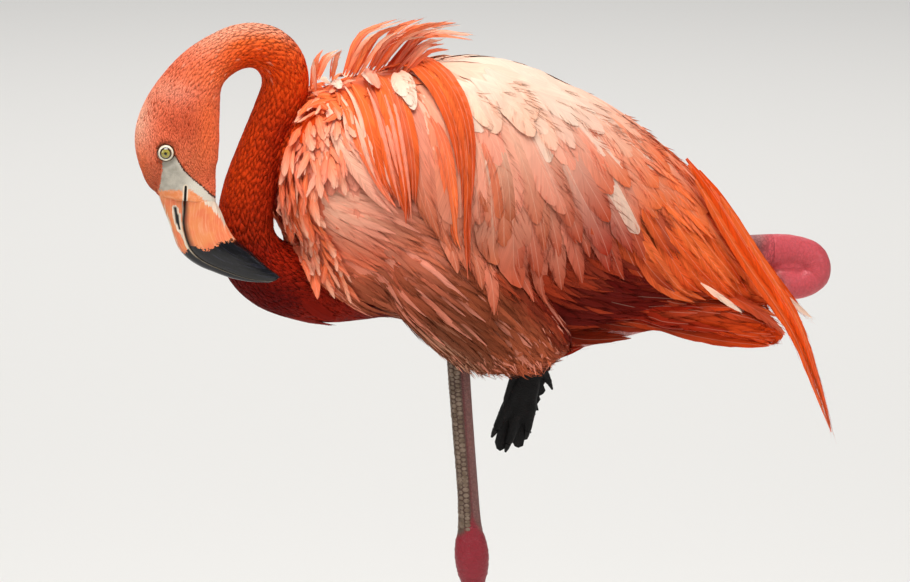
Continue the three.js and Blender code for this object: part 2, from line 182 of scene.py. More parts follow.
def places(mesh):
    co = np.zeros(len(mesh.vertices) * 3, np.float32)
    mesh.vertices.foreach_get("co", co)
    return co.reshape(-1, 3).astype(float) / mm


def setPlaces(mesh, points):
    mesh.vertices.foreach_set("co", (points * mm).astype(np.float32).ravel())
    mesh.update()


def paint(mesh, name, values):
    values = np.asarray(values, float)
    if values.ndim == 2:
        layer = mesh.color_attributes.new(name, "FLOAT_COLOR", "POINT")
        layer.data.foreach_set("color",
                               np.hstack([values, np.ones((len(values), 1))]).astype(np.float32).ravel())
    else:
        mesh.attributes.new(name, "FLOAT", "POINT").data.foreach_set("value", values.astype(np.float32))


def loopCorners(mesh):
    index = np.zeros(len(mesh.loops), np.int32)
    mesh.loops.foreach_get("vertex_index", index)
    return index


def setUv(mesh, name, uv):
    layer = mesh.uv_layers.new(name=name)
    layer.data.foreach_set("uv", uv.astype(np.float32).ravel())


def relax(mesh, rounds, share=0.5, keep=None):
    # moves each point towards its neighbours' middle
    points = places(mesh)
    edges = np.zeros(len(mesh.edges) * 2, np.int32)
    mesh.edges.foreach_get("vertices", edges)
    a, b = edges.reshape(-1, 2).T
    degree = np.bincount(edges, minlength=len(points))[:, None]
    hold = np.ones((len(points), 1)) if keep is None else keep[:, None]
    for _ in range(rounds):
        total = np.zeros_like(points)
        for axis in range(3):
            total[:, axis] = np.bincount(a, points[b, axis], len(points))
            total[:, axis] += np.bincount(b, points[a, axis], len(points))
        points += (total / np.maximum(degree, 1) - points) * share * hold
    setPlaces(mesh, points)
    return points


def addNode(tree, kind, links=(), output=0, **settings):
    # one node with its settings; links go to its inputs in order, or by name; gives one output
    node = tree.nodes.new(kind)
    for key, value in settings.items():
        setattr(node, key, value)
    for key, value in links.items() if isinstance(links, dict) else enumerate(links):
        if isinstance(value, bpy.types.NodeSocket):
            tree.links.new(value, node.inputs[key])
        else:
            node.inputs[key].default_value = value
    return node.outputs[output]


def newMaterial(name, **shader):
    material = bpy.data.materials.new(name)
    material.use_nodes = True
    tree = material.node_tree
    surface = tree.nodes["Principled BSDF"]
    for key, value in shader.items():
        surface.inputs[key].default_value = value
    return material, tree, surface


eased = {"interpolation_type": "SMOOTHSTEP"}  # settings that many nodes share
colourMix = {"data_type": "RGBA", "clamp_result": False}


def layered(tree, colour, *layers):
    # the colour with layers laid over it in turn: the share that covers, then what covers
    for share, over in layers:
        colour = addNode(tree, "ShaderNodeMix", {0: share, 6: colour, 7: over}, 2, **colourMix)
    return colour


def finish(tree, surface, colour, height, depth, strength=0.5):
    # the colour and the relief, its depth in mm, on the shader
    relief = addNode(tree, "ShaderNodeBump", {"Height": height, "Distance": depth * mm, "Strength": strength})
    tree.links.new(relief, surface.inputs["Normal"])
    tree.links.new(colour, surface.inputs["Base Color"])


def vaneMaterial(name, contrast, shaftShare, slope, spacing, depth=0.25):
    # feather vanes: keratin barbs zipped together, matt with the faintest sheen
    material, tree, surface = newMaterial(name, **{"Roughness": 0.75, "Specular IOR Level": 0.08})
    uv = addNode(tree, "ShaderNodeUVMap", uv_map="vane")
    across = addNode(tree, "ShaderNodeSeparateXYZ", [uv])
    beside = addNode(tree, "ShaderNodeMath", [across], operation="ABSOLUTE")
    slant = addNode(tree, "ShaderNodeMath", [beside, slope], operation="MULTIPLY")
    barb = addNode(tree, "ShaderNodeMath", [across.node.outputs[1], slant], operation="SUBTRACT")
    streaks = []
    for wide, stretch in ((spacing, 0.08), (spacing * 4.5, 0.03)):  # single barbs, then clumps of them
        step = addNode(tree, "ShaderNodeMath", [barb, 1 / (wide * math.hypot(1, slope))],
                       operation="MULTIPLY")
        along = addNode(tree, "ShaderNodeMath", [beside, stretch], operation="MULTIPLY")
        place = addNode(tree, "ShaderNodeCombineXYZ", [step, along])
        streaks.append(addNode(tree, "ShaderNodeTexNoise", {"Vector": place, "Scale": 1.0}))
    broad = contrast * 0.8
    fine = addNode(tree, "ShaderNodeMapRange", [streaks[0], 0.25, 0.75, 1 - contrast, 1 + contrast], **eased)
    clump = addNode(tree, "ShaderNodeMapRange", [streaks[1], 0.3, 0.7, 1 - broad, 1 + broad], **eased)
    shade = addNode(tree, "ShaderNodeMath", [fine, clump], operation="MULTIPLY")
    grey = addNode(tree, "ShaderNodeCombineColor", [shade, shade, shade])
    tint = addNode(tree, "ShaderNodeAttribute", attribute_name="tint")
    colour = addNode(tree, "ShaderNodeMix", {0: 1.0, 6: tint, 7: grey}, 2, **colourMix, blend_type="MULTIPLY")
    shaft = addNode(tree, "ShaderNodeMapRange", [beside, 0.4, 0.16, 0.0, shaftShare], **eased)
    colour = layered(tree, colour, (shaft, rgba("#fbd9bf")))
    height = addNode(tree, "ShaderNodeMath", [streaks[0], shaft], operation="ADD")
    finish(tree, surface, colour, height, depth)
    return material


wingVane = vaneMaterial("zippedFeatherVane", 0.07, 0.16, 2.4, 0.7)
lanceVane = vaneMaterial("openBarbedVane", 0.14, 0.12, 3.2, 0.9)
looseVane = vaneMaterial("looseDownyVane", 0.1, 0.0, 7.0, 0.8)
velvetVane = vaneMaterial("velvetNeckVane", 0.06, 0.0, 5.0, 0.7, 0.1)


# the shape of the solids: the head's own frame first
headYaw = math.radians(-18)
headOrigin = np.array([-227.4, -13.4, 605.4])
headAlong = np.array([math.cos(headYaw), math.sin(headYaw), 0])
headSide = np.array([-math.sin(headYaw), math.cos(headYaw), 0])
upward = np.array([0.0, 0, 1])


def headPoint(forward, sideways, up):
    parts = [np.asarray(part, float)[..., None] for part in (forward, sideways, up)]
    return headOrigin + parts[0] * headAlong + parts[1] * headSide + parts[2] * upward


def headParts(points):
    away = points - headOrigin
    return away @ headAlong, away @ headSide, away[:, 2]


spine = [  # x, y, z, half width, half depth
    (-57, 0, 491, 36, 39), (-102, 0, 483, 31, 33), (-135, 1, 487, 28, 31), (-157, 2, 499, 26.5, 28.4),
    (-168, 3, 518, 24.5, 25.6), (-169, 3, 539, 22.5, 23.6), (-165, 2, 562, 21.5, 22.6),
    (-155, 1, 591, 20.5, 21.1), (-144, -1, 618, 20.5, 21.1), (-138, -4, 642, 20, 20.3),
    (-144, -7, 660, 20, 20.5), (-158, -10, 671, 19.5, 20), (-177, -12, 672.5, 19, 19.3),
    (-198, -15, 664, 19, 19.5),
]
for forward, up, wide, deep in [(15.6, 46.2, 20, 22.4), (5.5, 24, 21.5, 29.4), (0, 0, 22, 33.3),
                                (1.8, -22, 19.5, 30.6), (4.8, -35, 16, 26)]:
    spine.append((*headPoint(forward, 0, up), wide, deep))
spine = np.array(spine, float)
nape = 14

cloakStations = np.array([  # x, top, bottom, half width of the plumage over the folded wings
    (-152, 600, 552, 40), (-145, 615, 526, 52), (-128, 634, 504, 63), (-100, 646, 486, 73),
    (-60, 655, 466, 79), (0, 662, 450, 82), (45, 656, 441, 80), (90, 636, 440, 74), (130, 614, 442, 66),
    (170, 584, 444, 54), (205, 549, 446, 43), (236, 510, 446, 31), (264, 470, 444, 17),
], float)
trunkStations = np.array([
    (-134, 584, 512, 20), (-122, 612, 472, 42), (-92, 634, 452, 59), (-50, 645, 448, 67),
    (0, 648, 437, 69), (45, 638, 429, 67), (90, 614, 431, 60), (135, 580, 434, 50),
    (180, 542, 436, 37), (215, 508, 440, 25), (238, 484, 452, 12)], float)
tailStations = np.array([
    (150, 462, 436, 34), (190, 462, 428, 35), (225, 456, 421, 31), (252, 444, 415, 25), (268, 428, 413, 15),
], float)
thighStations = np.array([  # z, front, rear, y, half width
    (520, -70, 10, -52, 24), (500, -76, 30, -50, 33), (476, -72, 54, -47, 37), (452, -54, 74, -43, 34),
    (433, -34, 84, -40, 28), (421, -17, 76, -38, 20), (413, 4, 62, -38, 9)], float)
foldedThigh = np.array([  # x, y, z, across, deep
    (20, 52, 486, 26, 36), (60, 60, 482, 24, 34), (110, 68, 479, 20, 28), (160, 72, 478, 16, 21),
    (205, 73, 479, 12, 14), (232, 74, 478, 10, 10.5),
], float)
legLeft = np.array([
    (-5.5, -23, 429, 7.4, 8.8), (-1, -20, 380, 7.2, 8.4), (5, -16, 320, 7.2, 8.2), (8, -13, 287, 8, 9.2),
    (9, -12, 273, 10.5, 12.4), (10, -12, 261, 11.5, 13.6), (11, -11.4, 248, 10.5, 12),
    (12, -10.8, 234, 7.6, 8.6), (16, -8.5, 190, 6.6, 7.6), (23, -5, 100, 6.4, 7.4), (29.5, 0, 32, 7, 8),
    (30, 0, 11.4, 9, 9.6),
], float)
legRight = np.array([
    (233.2, 74.1, 478, 7.6, 9.4), (262, 75, 478.5, 8.2, 10.5), (291, 75.5, 475.5, 9, 13.5),
    (309, 75.5, 474.5, 10, 12.8), (326, 75, 468, 11.5, 12.8), (329, 74, 455, 11.5, 12.8),
    (316, 73, 447.5, 10.5, 12), (297, 71, 447.5, 9.2, 11), (250, 62, 439, 6.8, 8), (180, 46, 430, 6.4, 7.6),
    (88, 27, 418, 7, 8),
], float)

leftward = np.array([0.0, 1, 0])


def squared(value, power):
    return np.sign(value) * np.abs(value) ** power


def bodyRings(stations, inset, steps=60, sides=48):
    inset = np.asarray(inset, float)
    rows = through(stations, np.linspace(0, len(stations) - 1, steps))
    angle = np.linspace(0, 2 * math.pi, sides, endpoint=False)
    rings = []
    middle = rows[:, 0].mean()
    for x, top, bottom, half in rows:
        tall = max((top - bottom) / 2 - inset, 2)
        x = middle + (x - middle) * (1 - inset / 200)
        rings.append(np.stack([
            np.full(sides, x),
            max(half - inset, 2) * squared(np.cos(angle), 0.86),
            (top + bottom) / 2 + tall * squared(np.sin(angle), 0.86)], 1))
    return np.array(rings)


def sweepRings(stations, first, last, steps, sides, inset=0.0, turn=None):
    # rings square to a smooth path; turn(t) is the side axis there
    t = np.linspace(first, last, steps)
    rows = through(stations, t)
    ahead = through(stations, np.minimum(t + 0.02, len(stations) - 1))[:, :3]
    back = through(stations, np.maximum(t - 0.02, 0))[:, :3]
    along = unit(ahead - back)
    side = np.tile(leftward, (steps, 1)) if turn is None else turn(t)
    across = unit(side - dot(side, along) * along)
    deep = np.cross(along, across)
    angle = np.linspace(0, 2 * math.pi, sides, endpoint=False)[None, :, None]
    size = rows[:, 3:5] - np.broadcast_to(inset, (steps,))[:, None]
    return (rows[:, None, :3]
            + across[:, None] * np.cos(angle) * size[:, 0, None, None]
            + deep[:, None] * np.sin(angle) * size[:, 1, None, None])


def neckTurn(t):
    share = smoothstep(10, nape, t)[:, None]
    return unit(leftward * (1 - share) + headSide * share)


# one smooth hide under all the feathers
skinSizes = {
    "wingCoat": 9.0,  # depth of the coat over the wings and back
    "bellyCoat": 6.0,
    "neckCoat": 2.6,
    "headCoat": 1.1,
    "voxel": 2.3,
}
billBaseRidge, billBaseChin, billBaseHalf = (-15.8, -42.8), (28.6, -49.4), 13.6


def headEndRing(sides, grow, further):
    # the slanted section where the face meets the bill
    angle = np.linspace(0, 2 * math.pi, sides, endpoint=False)
    share = (1 + np.sin(angle)) / 2
    forward = billBaseRidge[0] + (billBaseChin[0] - billBaseRidge[0]) * share + grow * np.sin(angle)
    up = billBaseRidge[1] + (billBaseChin[1] - billBaseRidge[1]) * share - further
    return headPoint(forward, (billBaseHalf + grow) * np.cos(angle), up)


def neckRings(steps=150, sides=40):
    last = len(spine) - 1
    t = np.linspace(0, last, steps)
    inset = skinSizes["neckCoat"] + (skinSizes["headCoat"] - skinSizes["neckCoat"]) * smoothstep(11, 15, t)
    rings = sweepRings(spine, 0, last, steps, sides, inset, neckTurn)
    end = headEndRing(sides, 0.5, 0.0)
    bridge = [rings[-1] + (end - rings[-1]) * share for share in (0.35, 0.7, 1.0)]
    return np.vstack([rings, bridge, [headEndRing(sides, 0.5, 2.2)]])


def thighRings(inset):
    rows = through(thighStations, np.linspace(0, len(thighStations) - 1, 30))
    angle = np.linspace(0, 2 * math.pi, 40, endpoint=False)
    return np.array([np.stack([
        (front + rear) / 2 + ((rear - front) / 2 - inset) * np.cos(angle),
        y + max(half - inset, 1.5) * np.sin(angle),
        np.full(40, z + inset * 0.4)], 1) for z, front, rear, y, half in rows])


def buildSkin():
    shells = [
        bodyRings(cloakStations, skinSizes["wingCoat"]),
        bodyRings(trunkStations, skinSizes["bellyCoat"]),
        bodyRings(tailStations, skinSizes["bellyCoat"], 20, 32),
        thighRings(skinSizes["bellyCoat"]),
        sweepRings(foldedThigh, 0, len(foldedThigh) - 1, 24, 32, 4.0),
        neckRings(),
    ]
    points, faces, start = [], [], 0
    for shell in shells:
        some, their = ringSolid(shell)
        points.append(some)
        faces += [tuple(start + i for i in face) for face in their]
        start += len(some)
    item = addObject("skin", solidMesh("skin", np.vstack(points), faces))
    settled(item, ("REMESH", {"mode": "VOXEL", "voxel_size": skinSizes["voxel"] * mm}))
    relax(item.data, 4)
    refineHead(item.data)
    item.data.shade_smooth()
    return item


def headShare(points):
    # 1 on the head, 0 on the neck
    forward, sideways, up = headParts(points)
    near = (forward > -60) & (forward < 62) & (np.abs(sideways) < 40)
    return np.where(near, smoothstep(40, 26, up), 0.0)


def refineHead(mesh):
    # the head's mesh is halved, then drawn onto the exact shape of the head
    body = bmesh.new()
    body.from_mesh(mesh)
    body.verts.ensure_lookup_table()
    share = headShare(np.array([v.co for v in body.verts]) / mm)
    edges = [e for e in body.edges if share[e.verts[0].index] > 0 and share[e.verts[1].index] > 0]
    bmesh.ops.subdivide_edges(body, edges=edges, cuts=1, use_grid_fill=True)
    body.to_mesh(mesh)
    body.free()
    points = places(mesh)
    guide, guideFaces = ringSolid(neckRings(400, 96))
    tree = BVHTree.FromPolygons(guide.tolist(), guideFaces)
    share = headShare(points)
    for i in np.nonzero(share > 0)[0]:
        hit = tree.find_nearest(Vector(points[i]))[0]
        points[i] += (np.array(hit) - points[i]) * share[i]
    setPlaces(mesh, points)
    relax(mesh, 1, 0.4, share)


skin = buildSkin()
print("skin", len(skin.data.polygons))


spineSteps = np.linspace(0, len(spine) - 1, 400)
spineLine = through(spine, spineSteps)
spineAhead = unit(np.gradient(spineLine[:, :3], axis=0))


def alongSpine(points):
    # nearest station of the spine, distance from it over its radius, and the direction towards the head
    best = np.zeros(len(points), int)
    for start in range(0, len(points), 4000):
        part = points[start:start + 4000]
        gaps = ((part[:, None] - spineLine[None, :, :3]) ** 2).sum(2)
        best[start:start + 4000] = gaps.argmin(1)
    away = np.linalg.norm(points - spineLine[best, :3], axis=1)
    return spineSteps[best], away / spineLine[best, 3:5].mean(1), spineAhead[best]


def neckShare(points):
    station, away, _ = alongSpine(points)
    return np.where((away < 1.35) | (station > 13), smoothstep(1.3, 2.4, station), 0.0)


def mixedBy(anchors, points, values):
    # blends the anchors' values by nearness, seen from the side
    reach = 12.0  # an anchor isn't felt as nearer than this
    anchors = np.asarray(anchors, float)
    gaps = (points[:, 0:1] - anchors[:, 0]) ** 2 + (points[:, 2:3] - anchors[:, 1]) ** 2 + reach**2
    weight = 1 / gaps**2
    return (weight / weight.sum(1, keepdims=True)) @ values


# x, z and the angle of the lie in degrees, for the wings' plumage and for the softer coat below it
wingLie = [
    (-150, 560, -88), (-145, 610, -85), (-120, 640, -72), (-110, 600, -80), (-128, 520, -56), (-75, 628, -80),
    (-61, 560, -86), (-31, 643, -66), (-15, 560, -88), (10, 570, -84), (14, 520, -88), (50, 582, -68),
    (38, 520, -78), (30, 480, -80), (88, 510, -70), (100, 560, -58), (125, 590, -44), (60, 640, -32),
    (0, 656, -24), (-60, 655, -40), (143, 567, -44), (188, 540, -48), (170, 500, -50), (115, 530, -60),
    (200, 480, -44), (230, 470, -48), (120, 445, -16), (240, 435, -14), (180, 455, -30),
]
lowerLie = [
    (-150, 560, -80), (-140, 520, -62), (-125, 556, -22), (-103, 545, -18), (-112, 526, -22), (-88, 511, -24),
    (-60, 525, -22), (-35, 512, -42), (-60, 500, -28), (-33, 486, -34), (-7, 470, -38), (-85, 479, -38),
    (-60, 455, -40), (-30, 450, -44), (0, 450, -44), (0, 425, -56), (30, 430, -50), (50, 422, -52),
    (60, 440, -44), (20, 490, -50), (40, 480, -40), (90, 450, -22), (120, 440, -12), (80, 435, -24),
    (180, 440, -10), (240, 435, -14), (150, 470, -14), (80, 500, -30), (0, 600, -60), (150, 520, -40),
]
wingTones = [
    (-150, 600, "coral"), (-145, 560, "coral"), (-120, 640, "orange"), (-110, 600, "salmon"),
    (-90, 645, "orange"), (-75, 628, "orange"), (-55, 660, "orange"), (-32, 652, "shell"),
    (20, 652, "cream"), (57, 632, "cream"), (113, 611, "cream"), (68, 610, "cream"), (129, 582, "shell"),
    (-10, 610, "shell"), (25, 612, "shell"), (13, 584, "salmon"), (45, 585, "shell"), (63, 560, "salmon"),
    (29, 553, "salmon"), (10, 510, "clay"), (35, 505, "rust"), (50, 525, "clay"), (72, 512, "rust"),
    (97, 532, "rust"), (90, 560, "coral"), (112, 574, "coral"), (128, 568, "orange"), (134, 552, "orange"),
    (152, 535, "orange"), (190, 515, "orange"), (180, 477, "rust"), (215, 490, "orange"),
    (240, 470, "flame"), (112, 505, "brick"), (165, 560, "orange"), (150, 500, "rust"),
    (168, 480, "garnet"), (200, 470, "flame"), (160, 480, "brick"),
]
# x, z and tone of the coat below the wings; the dark umber and garnet over thigh, belly and flank are partly
# painted shade
lowerTones = [
    (-145, 545, "coral"), (-130, 520, "coral"), (-123, 554, "shell"), (-107, 545, "salmon"),
    (-100, 520, "coral"), (-79, 530, "salmon"), (-79, 505, "coral"), (-90, 490, "clay"),
    (-50, 478, "umber"), (-40, 510, "clay"), (-60, 470, "umber"), (-25, 453, "umber"), (-10, 480, "umber"),
    (17, 434, "umber"), (0, 422, "umber"), (51, 431, "clay"), (40, 418, "clay"), (20, 460, "umber"),
    (30, 490, "rust"), (48, 480, "garnet"), (62, 462, "garnet"), (-14, 421, "fawn"), (74, 450, "garnet"),
    (88, 467, "garnet"), (100, 490, "garnet"), (108, 468, "garnet"), (110, 444, "brick"),
    (137, 456, "rust"), (127, 518, "brick"), (153, 499, "garnet"), (180, 440, "flame"), (187, 453, "rust"),
    (229, 440, "flame"), (248, 424, "flame"), (145, 475, "rust"), (0, 600, "salmon"), (100, 560, "coral"),
    (150, 520, "brick"), (-120, 600, "coral"),
]
# the short red coat lies below this line
breastLine = ([-150, -128, -106, -85, -58, -33, -20], [536, 512, 496, 477, 456, 438, 420])


def lie(anchors, points):
    angles = np.radians([a[2] for a in anchors])
    both = mixedBy([a[:2] for a in anchors], points, np.stack([np.cos(angles), np.sin(angles)], 1))
    both = unit(both)
    return np.stack([both[:, 0], np.zeros(len(points)), both[:, 1]], 1)


def tones(anchors, points):
    return mixedBy([a[:2] for a in anchors], points, np.array([tone[a[2]] for a in anchors]))


neckTones = [  # station along the spine, upper side, lower side; the lower side's darker tone is painted shade, the garnet of the base partly so
    (0, "garnet", "garnet"), (2, "brick", "garnet"), (4, "brick", "garnet"), (6, "flame", "brick"),
    (8, "flame", "brick"), (9.5, "flame", "flame"), (11, "orange", "flame"), (12.5, "orange", "flame"),
    (14, "coral", "orange"), (16, "coral", "coral"), (18, "coral", "coral"),
]


# the shell patches along the brow are partly a painted sheen, the rust patches over the crown partly painted
# shadow
headPatches = [  # forward, up, reach each way, tone and strength
    (-30, 12, 10, 34, "shell", 0.7), (-26, -22, 6, 16, "orange", 0.6), (8, 18, 20, 16, "rust", 0.35),
    (-2, 8, 13, 11, "rust", 0.4), (14, -18, 16, 22, "clay", 0.75), (24, 8, 9, 34, "orange", 0.6),
    (-16, -34, 10, 18, "umber", 0.45), (0, 36, 16, 10, "salmon", 0.5), (10, 4, 12, 12, "rust", 0.45),
    (-14, 44, 16, 12, "shell", 0.4),
]


def neckTone(points, normals):
    station, _, _ = alongSpine(points)
    marks = [row[0] for row in neckTones]
    upper, lower = (np.stack([np.interp(station, marks, [tone[row[side]][k] for row in neckTones])
                              for k in range(3)], 1)
                    for side in (1, 2))
    # painted shade: skin facing down takes the darker lower tone, skin facing up the lighter upper one
    share = smoothstep(-0.4, 0.7, normals[:, 2])[:, None]
    colour = lower * (1 - share) + upper * share
    crown = smoothstep(0.3, 0.95, normals[:, 2])  # painted highlight along the top of the arch
    crown = crown * smoothstep(9.5, 11.5, station) * smoothstep(14.5, 12.5, station)
    colour = colour + (tone["shell"] - colour) * (crown * 0.55)[:, None]
    head = (smoothstep(13, 14.5, station) * smoothstep(52, 30, headParts(points)[2]))[:, None]
    return colour * (1 - head) + headTone(points) * head


def headTone(points):
    # pale along the brow, partly a painted sheen; a rusty cloud over the crown, partly painted shadow;
    # pinkish cheeks
    forward, _, up = headParts(points)
    colour = np.tile(tone["coral"], (len(points), 1))
    for ahead, high, wide, tall, name, share in headPatches:
        away = np.hypot((forward - ahead) / wide, (up - high) / tall)
        weight = (share * np.exp(-away**2))[:, None]
        colour = colour * (1 - weight) + tone[name] * weight
    return colour


def belowBreastLine(points):
    below = np.interp(points[:, 0], *breastLine) - points[:, 2]
    return smoothstep(-3, 3, below) * smoothstep(-18, -34, points[:, 0])


def breastShare(points):
    return belowBreastLine(points) * (1 - smoothstep(0.3, 0.6, neckShare(points)))


def coatTone(points, normals):
    # what the short coat and the skin share
    wing = smoothstep(470, 520, points[:, 2])[:, None]
    body = tones(lowerTones, points) * (1 - wing) + tones(wingTones, points) * wing
    # the breast's garnet red is partly painted shade
    breast = belowBreastLine(points)[:, None]
    front = smoothstep(-60, -120, points[:, 0])[:, None]
    red = tone["garnet"] * (1 - front) + (tone["garnet"] + tone["brick"]) / 2 * front
    body = body * (1 - breast) + red * breast
    share = neckShare(points)[:, None]
    return body * (1 - share) + neckTone(points, normals) * share


def unwrapped(points, chart=None):
    # the hide laid flat: body by length and turn round it, neck and head by the same along the spine
    if chart is None:
        chart = neckShare(points) > 0.5
    station, _, _ = alongSpine(points)
    middle = through(spine, station)[:, :3]
    away = points - middle
    turn = np.arctan2(away[:, 1], np.where(station > 8, away[:, 0], away[:, 2]))
    bodyTurn = np.arctan2(points[:, 1], points[:, 2] - 520)
    u = np.where(chart, 0.53 + 0.44 * station / (len(spine) - 1), 0.02 + 0.46 * (points[:, 0] + 165) / 450)
    v = np.where(chart, turn, bodyTurn) / (2 * math.pi) * 0.96 + 0.5
    return np.stack([np.clip(u, 0.005, 0.995), np.clip(v, 0.005, 0.995)], 1)


def skinUv(mesh):
    points = places(mesh)
    corners = loopCorners(mesh)
    totals = np.zeros(len(mesh.polygons), np.int32)
    mesh.polygons.foreach_get("loop_total", totals)
    owner = np.repeat(np.arange(len(totals)), totals)
    middle = np.stack([np.bincount(owner, points[corners, k]) / totals for k in range(3)], 1)
    chart = (neckShare(middle) > 0.5)[owner]
    neck, body = (unwrapped(points, np.full(len(points), side))[corners] for side in (True, False))
    uv = np.where(chart[:, None], neck, body)
    low = np.full(len(totals), 2.0)
    high = np.full(len(totals), -1.0)
    np.minimum.at(low, owner, uv[:, 1])
    np.maximum.at(high, owner, uv[:, 1])
    torn = ((high - low) > 0.5)[owner]
    uv[torn & (uv[:, 1] < 0.5), 1] = 0.985  # a face across the seam stays on one side of it
    setUv(mesh, "OFBake", uv)


# the bare face: grey-white skin from the eye down to the bill, in the head's forward and up
barePatch = [
    (-6.5, -13.5), (-10.9, -16.2), (-10.6, -22.2), (-11.6, -27.5), (-12.6, -33.8), (-14.4, -41), (-12, -50),
    (34, -56), (29.6, -48), (24.3, -42.7), (18.8, -36.4), (13.4, -32), (8.2, -26.6), (5.2, -23),
    (2.1, -17.7), (-0.8, -12.5), (-3, -10),
]
eyePlace = {"forward": -7.9, "up": -9.6, "sideways": 16.6, "radius": 7.4}


def bareness(points):
    forward, sideways, up = headParts(points)
    inside = outlineDistance(np.stack([forward, up], 1), barePatch)
    return np.where((np.abs(sideways) < 24) & (up < 0) & (forward > -40) & (forward < 60), inside, -20.0)


hornPatch = [
    (-16, -40.5), (-4, -39.2), (4.6, -39.8), (6, -38), (9.4, -38.6), (13.6, -41), (19, -45.6), (24, -50),
    (10, -58), (-14, -54),
]
gapeLine = ((6.2, -47.4), (6.9, -36.6))


def skinMaterial():
    # living hide: matt, finely pored, with the coat's tones, their painted shade and highlight included; bare
    # and powdery round the eye
    material, tree, surface = newMaterial("pinkHideUnderFeathers",
                                          **{"Roughness": 0.65, "Specular IOR Level": 0.25})
    place = addNode(tree, "ShaderNodeTexCoord", output="Object")
    pores, nibbled, powder, speckled, blotched = [
        addNode(tree, "ShaderNodeTexNoise", {"Vector": place, "Scale": 1 / (size * mm), "Detail": detail})
        for size, detail in ((1.6, 3), (1.2, 2), (7, 3), (1.8, 2), (3, 3))]
    tint = addNode(tree, "ShaderNodeAttribute", attribute_name="tint")
    bare, glow, horn, gape, rim = [addNode(tree, "ShaderNodeAttribute", output="Fac", attribute_name=name)
                                   for name in ("bare", "glow", "horn", "gape", "rim")]
    nibbled = addNode(tree, "ShaderNodeMapRange", [nibbled, 0.3, 0.7, -0.4, 0.4], **eased)
    ragged = addNode(tree, "ShaderNodeMath", [bare, nibbled], operation="ADD")
    speckled = addNode(tree, "ShaderNodeMapRange", [speckled, 0.3, 0.7, -0.9, 0.9], **eased)
    horn = addNode(tree, "ShaderNodeMath", [horn, speckled], operation="ADD")
    powder, blotched, bare, horn, cream, slit, outside, inside = [
        addNode(tree, "ShaderNodeMapRange", row, **eased) for row in (
            [powder, 0.3, 0.7], [blotched, 0.35, 0.65], [ragged, -0.2, 0.4], [horn, -0.9, 1.0],
            [gape, 2.3, 1.7], [gape, 1.15, 0.85], [ragged, -1.5, -0.6], [ragged, 0.4, -0.2])]
    pink = layered(tree, rgba("#ee8c54"), (blotched, rgba("#f3a071")))
    # slit: black along the gape line, painted shadow in the crease between the bill's halves
    pale = layered(tree, rgba("#a79f90"), (powder, rgba("#c9c1b1")), (glow, rgba("#dcd3c2")), (horn, pink),
                   (cream, rgba("#ecd9bf")), (slit, rgba("#120c0a")))
    line = addNode(tree, "ShaderNodeMath", [outside, inside], operation="MULTIPLY")
    line = addNode(tree, "ShaderNodeMath", [line, rim], operation="MULTIPLY")
    colour = layered(tree, tint, (bare, pale), (line, rgba("#3a1d14")))
    folds = addNode(tree, "ShaderNodeTexVoronoi", {"Vector": place, "Scale": 1 / (1.5 * mm)},
                    feature="DISTANCE_TO_EDGE")
    folds = addNode(tree, "ShaderNodeMapRange", [folds, 0.0, 0.25, 0.0, 0.5], **eased)
    height = addNode(tree, "ShaderNodeMath", [pores, folds], operation="ADD")
    finish(tree, surface, colour, height, 0.25)
    return material


def meshNormals(mesh):
    normals = np.zeros(len(mesh.vertices) * 3, np.float32)
    mesh.vertex_normals.foreach_get("vector", normals)
    return normals.reshape(-1, 3).astype(float)


def seatEyes(mesh):
    # a shallow hollow round each eye, a brow above it and a crease where the gape ends
    points = places(mesh)
    normals = meshNormals(mesh)
    forward, sideways, up = headParts(points)
    near = headShare(points)
    away = np.hypot(forward - eyePlace["forward"], up - eyePlace["up"])
    hollow = 1.5 * smoothstep(13, 8, away) * near
    brow = 0.7 * np.exp(-((away - 10.5) / 2.2) ** 2) * smoothstep(-2, 4, up - eyePlace["up"]) * near
    gape = segmentDistance(np.stack([forward, up], 1), *gapeLine)
    crease = 0.7 * smoothstep(1.6, 0.2, gape) * near * smoothstep(4, 9, np.abs(sideways))
    points += normals * (brow - hollow - crease)[:, None]
    setPlaces(mesh, points)


seatEyes(skin.data)
skinPoints = places(skin.data)
skinNormals = meshNormals(skin.data)
paint(skin.data, "tint", coatTone(skinPoints, skinNormals))
paint(skin.data, "bare", bareness(skinPoints))
headForward, _, headUp = headParts(skinPoints)
paint(skin.data, "rim", smoothstep(-8, -2, headForward) * smoothstep(-52, -46, headUp + 6))
paint(skin.data, "glow", smoothstep(0, 14, headForward))
onFace = headShare(skinPoints) > 0.5
flatFace = np.stack([headForward, headUp], 1)
paint(skin.data, "horn", np.where(onFace, outlineDistance(flatFace, hornPatch), -9.0))
paint(skin.data, "gape", np.where(onFace, segmentDistance(flatFace, *gapeLine), 9.0))
skinUv(skin.data)
skin.data.materials.append(skinMaterial())
triangles = settled(addObject("guide", skin.data.copy()), ("TRIANGULATE", {}))
guideCorners = loopCorners(triangles.data).reshape(-1, 3)
skinTree = BVHTree.FromPolygons(skinPoints.tolist(), guideCorners.tolist())
cornerPoints = skinPoints[guideCorners]
faceCross = np.cross(cornerPoints[:, 1] - cornerPoints[:, 0], cornerPoints[:, 2] - cornerPoints[:, 0])
faceNormals, faceAreas = unit(faceCross), np.linalg.norm(faceCross, axis=1) / 2
bpy.data.objects.remove(triangles)


def ontoSkin(points):
    found = [skinTree.find_nearest(Vector(p)) for p in points]
    near = np.array([hit[0] for hit in found])
    smooth = unit(skinNormals[guideCorners[[hit[2] for hit in found]]].mean(1))
    return near, smooth


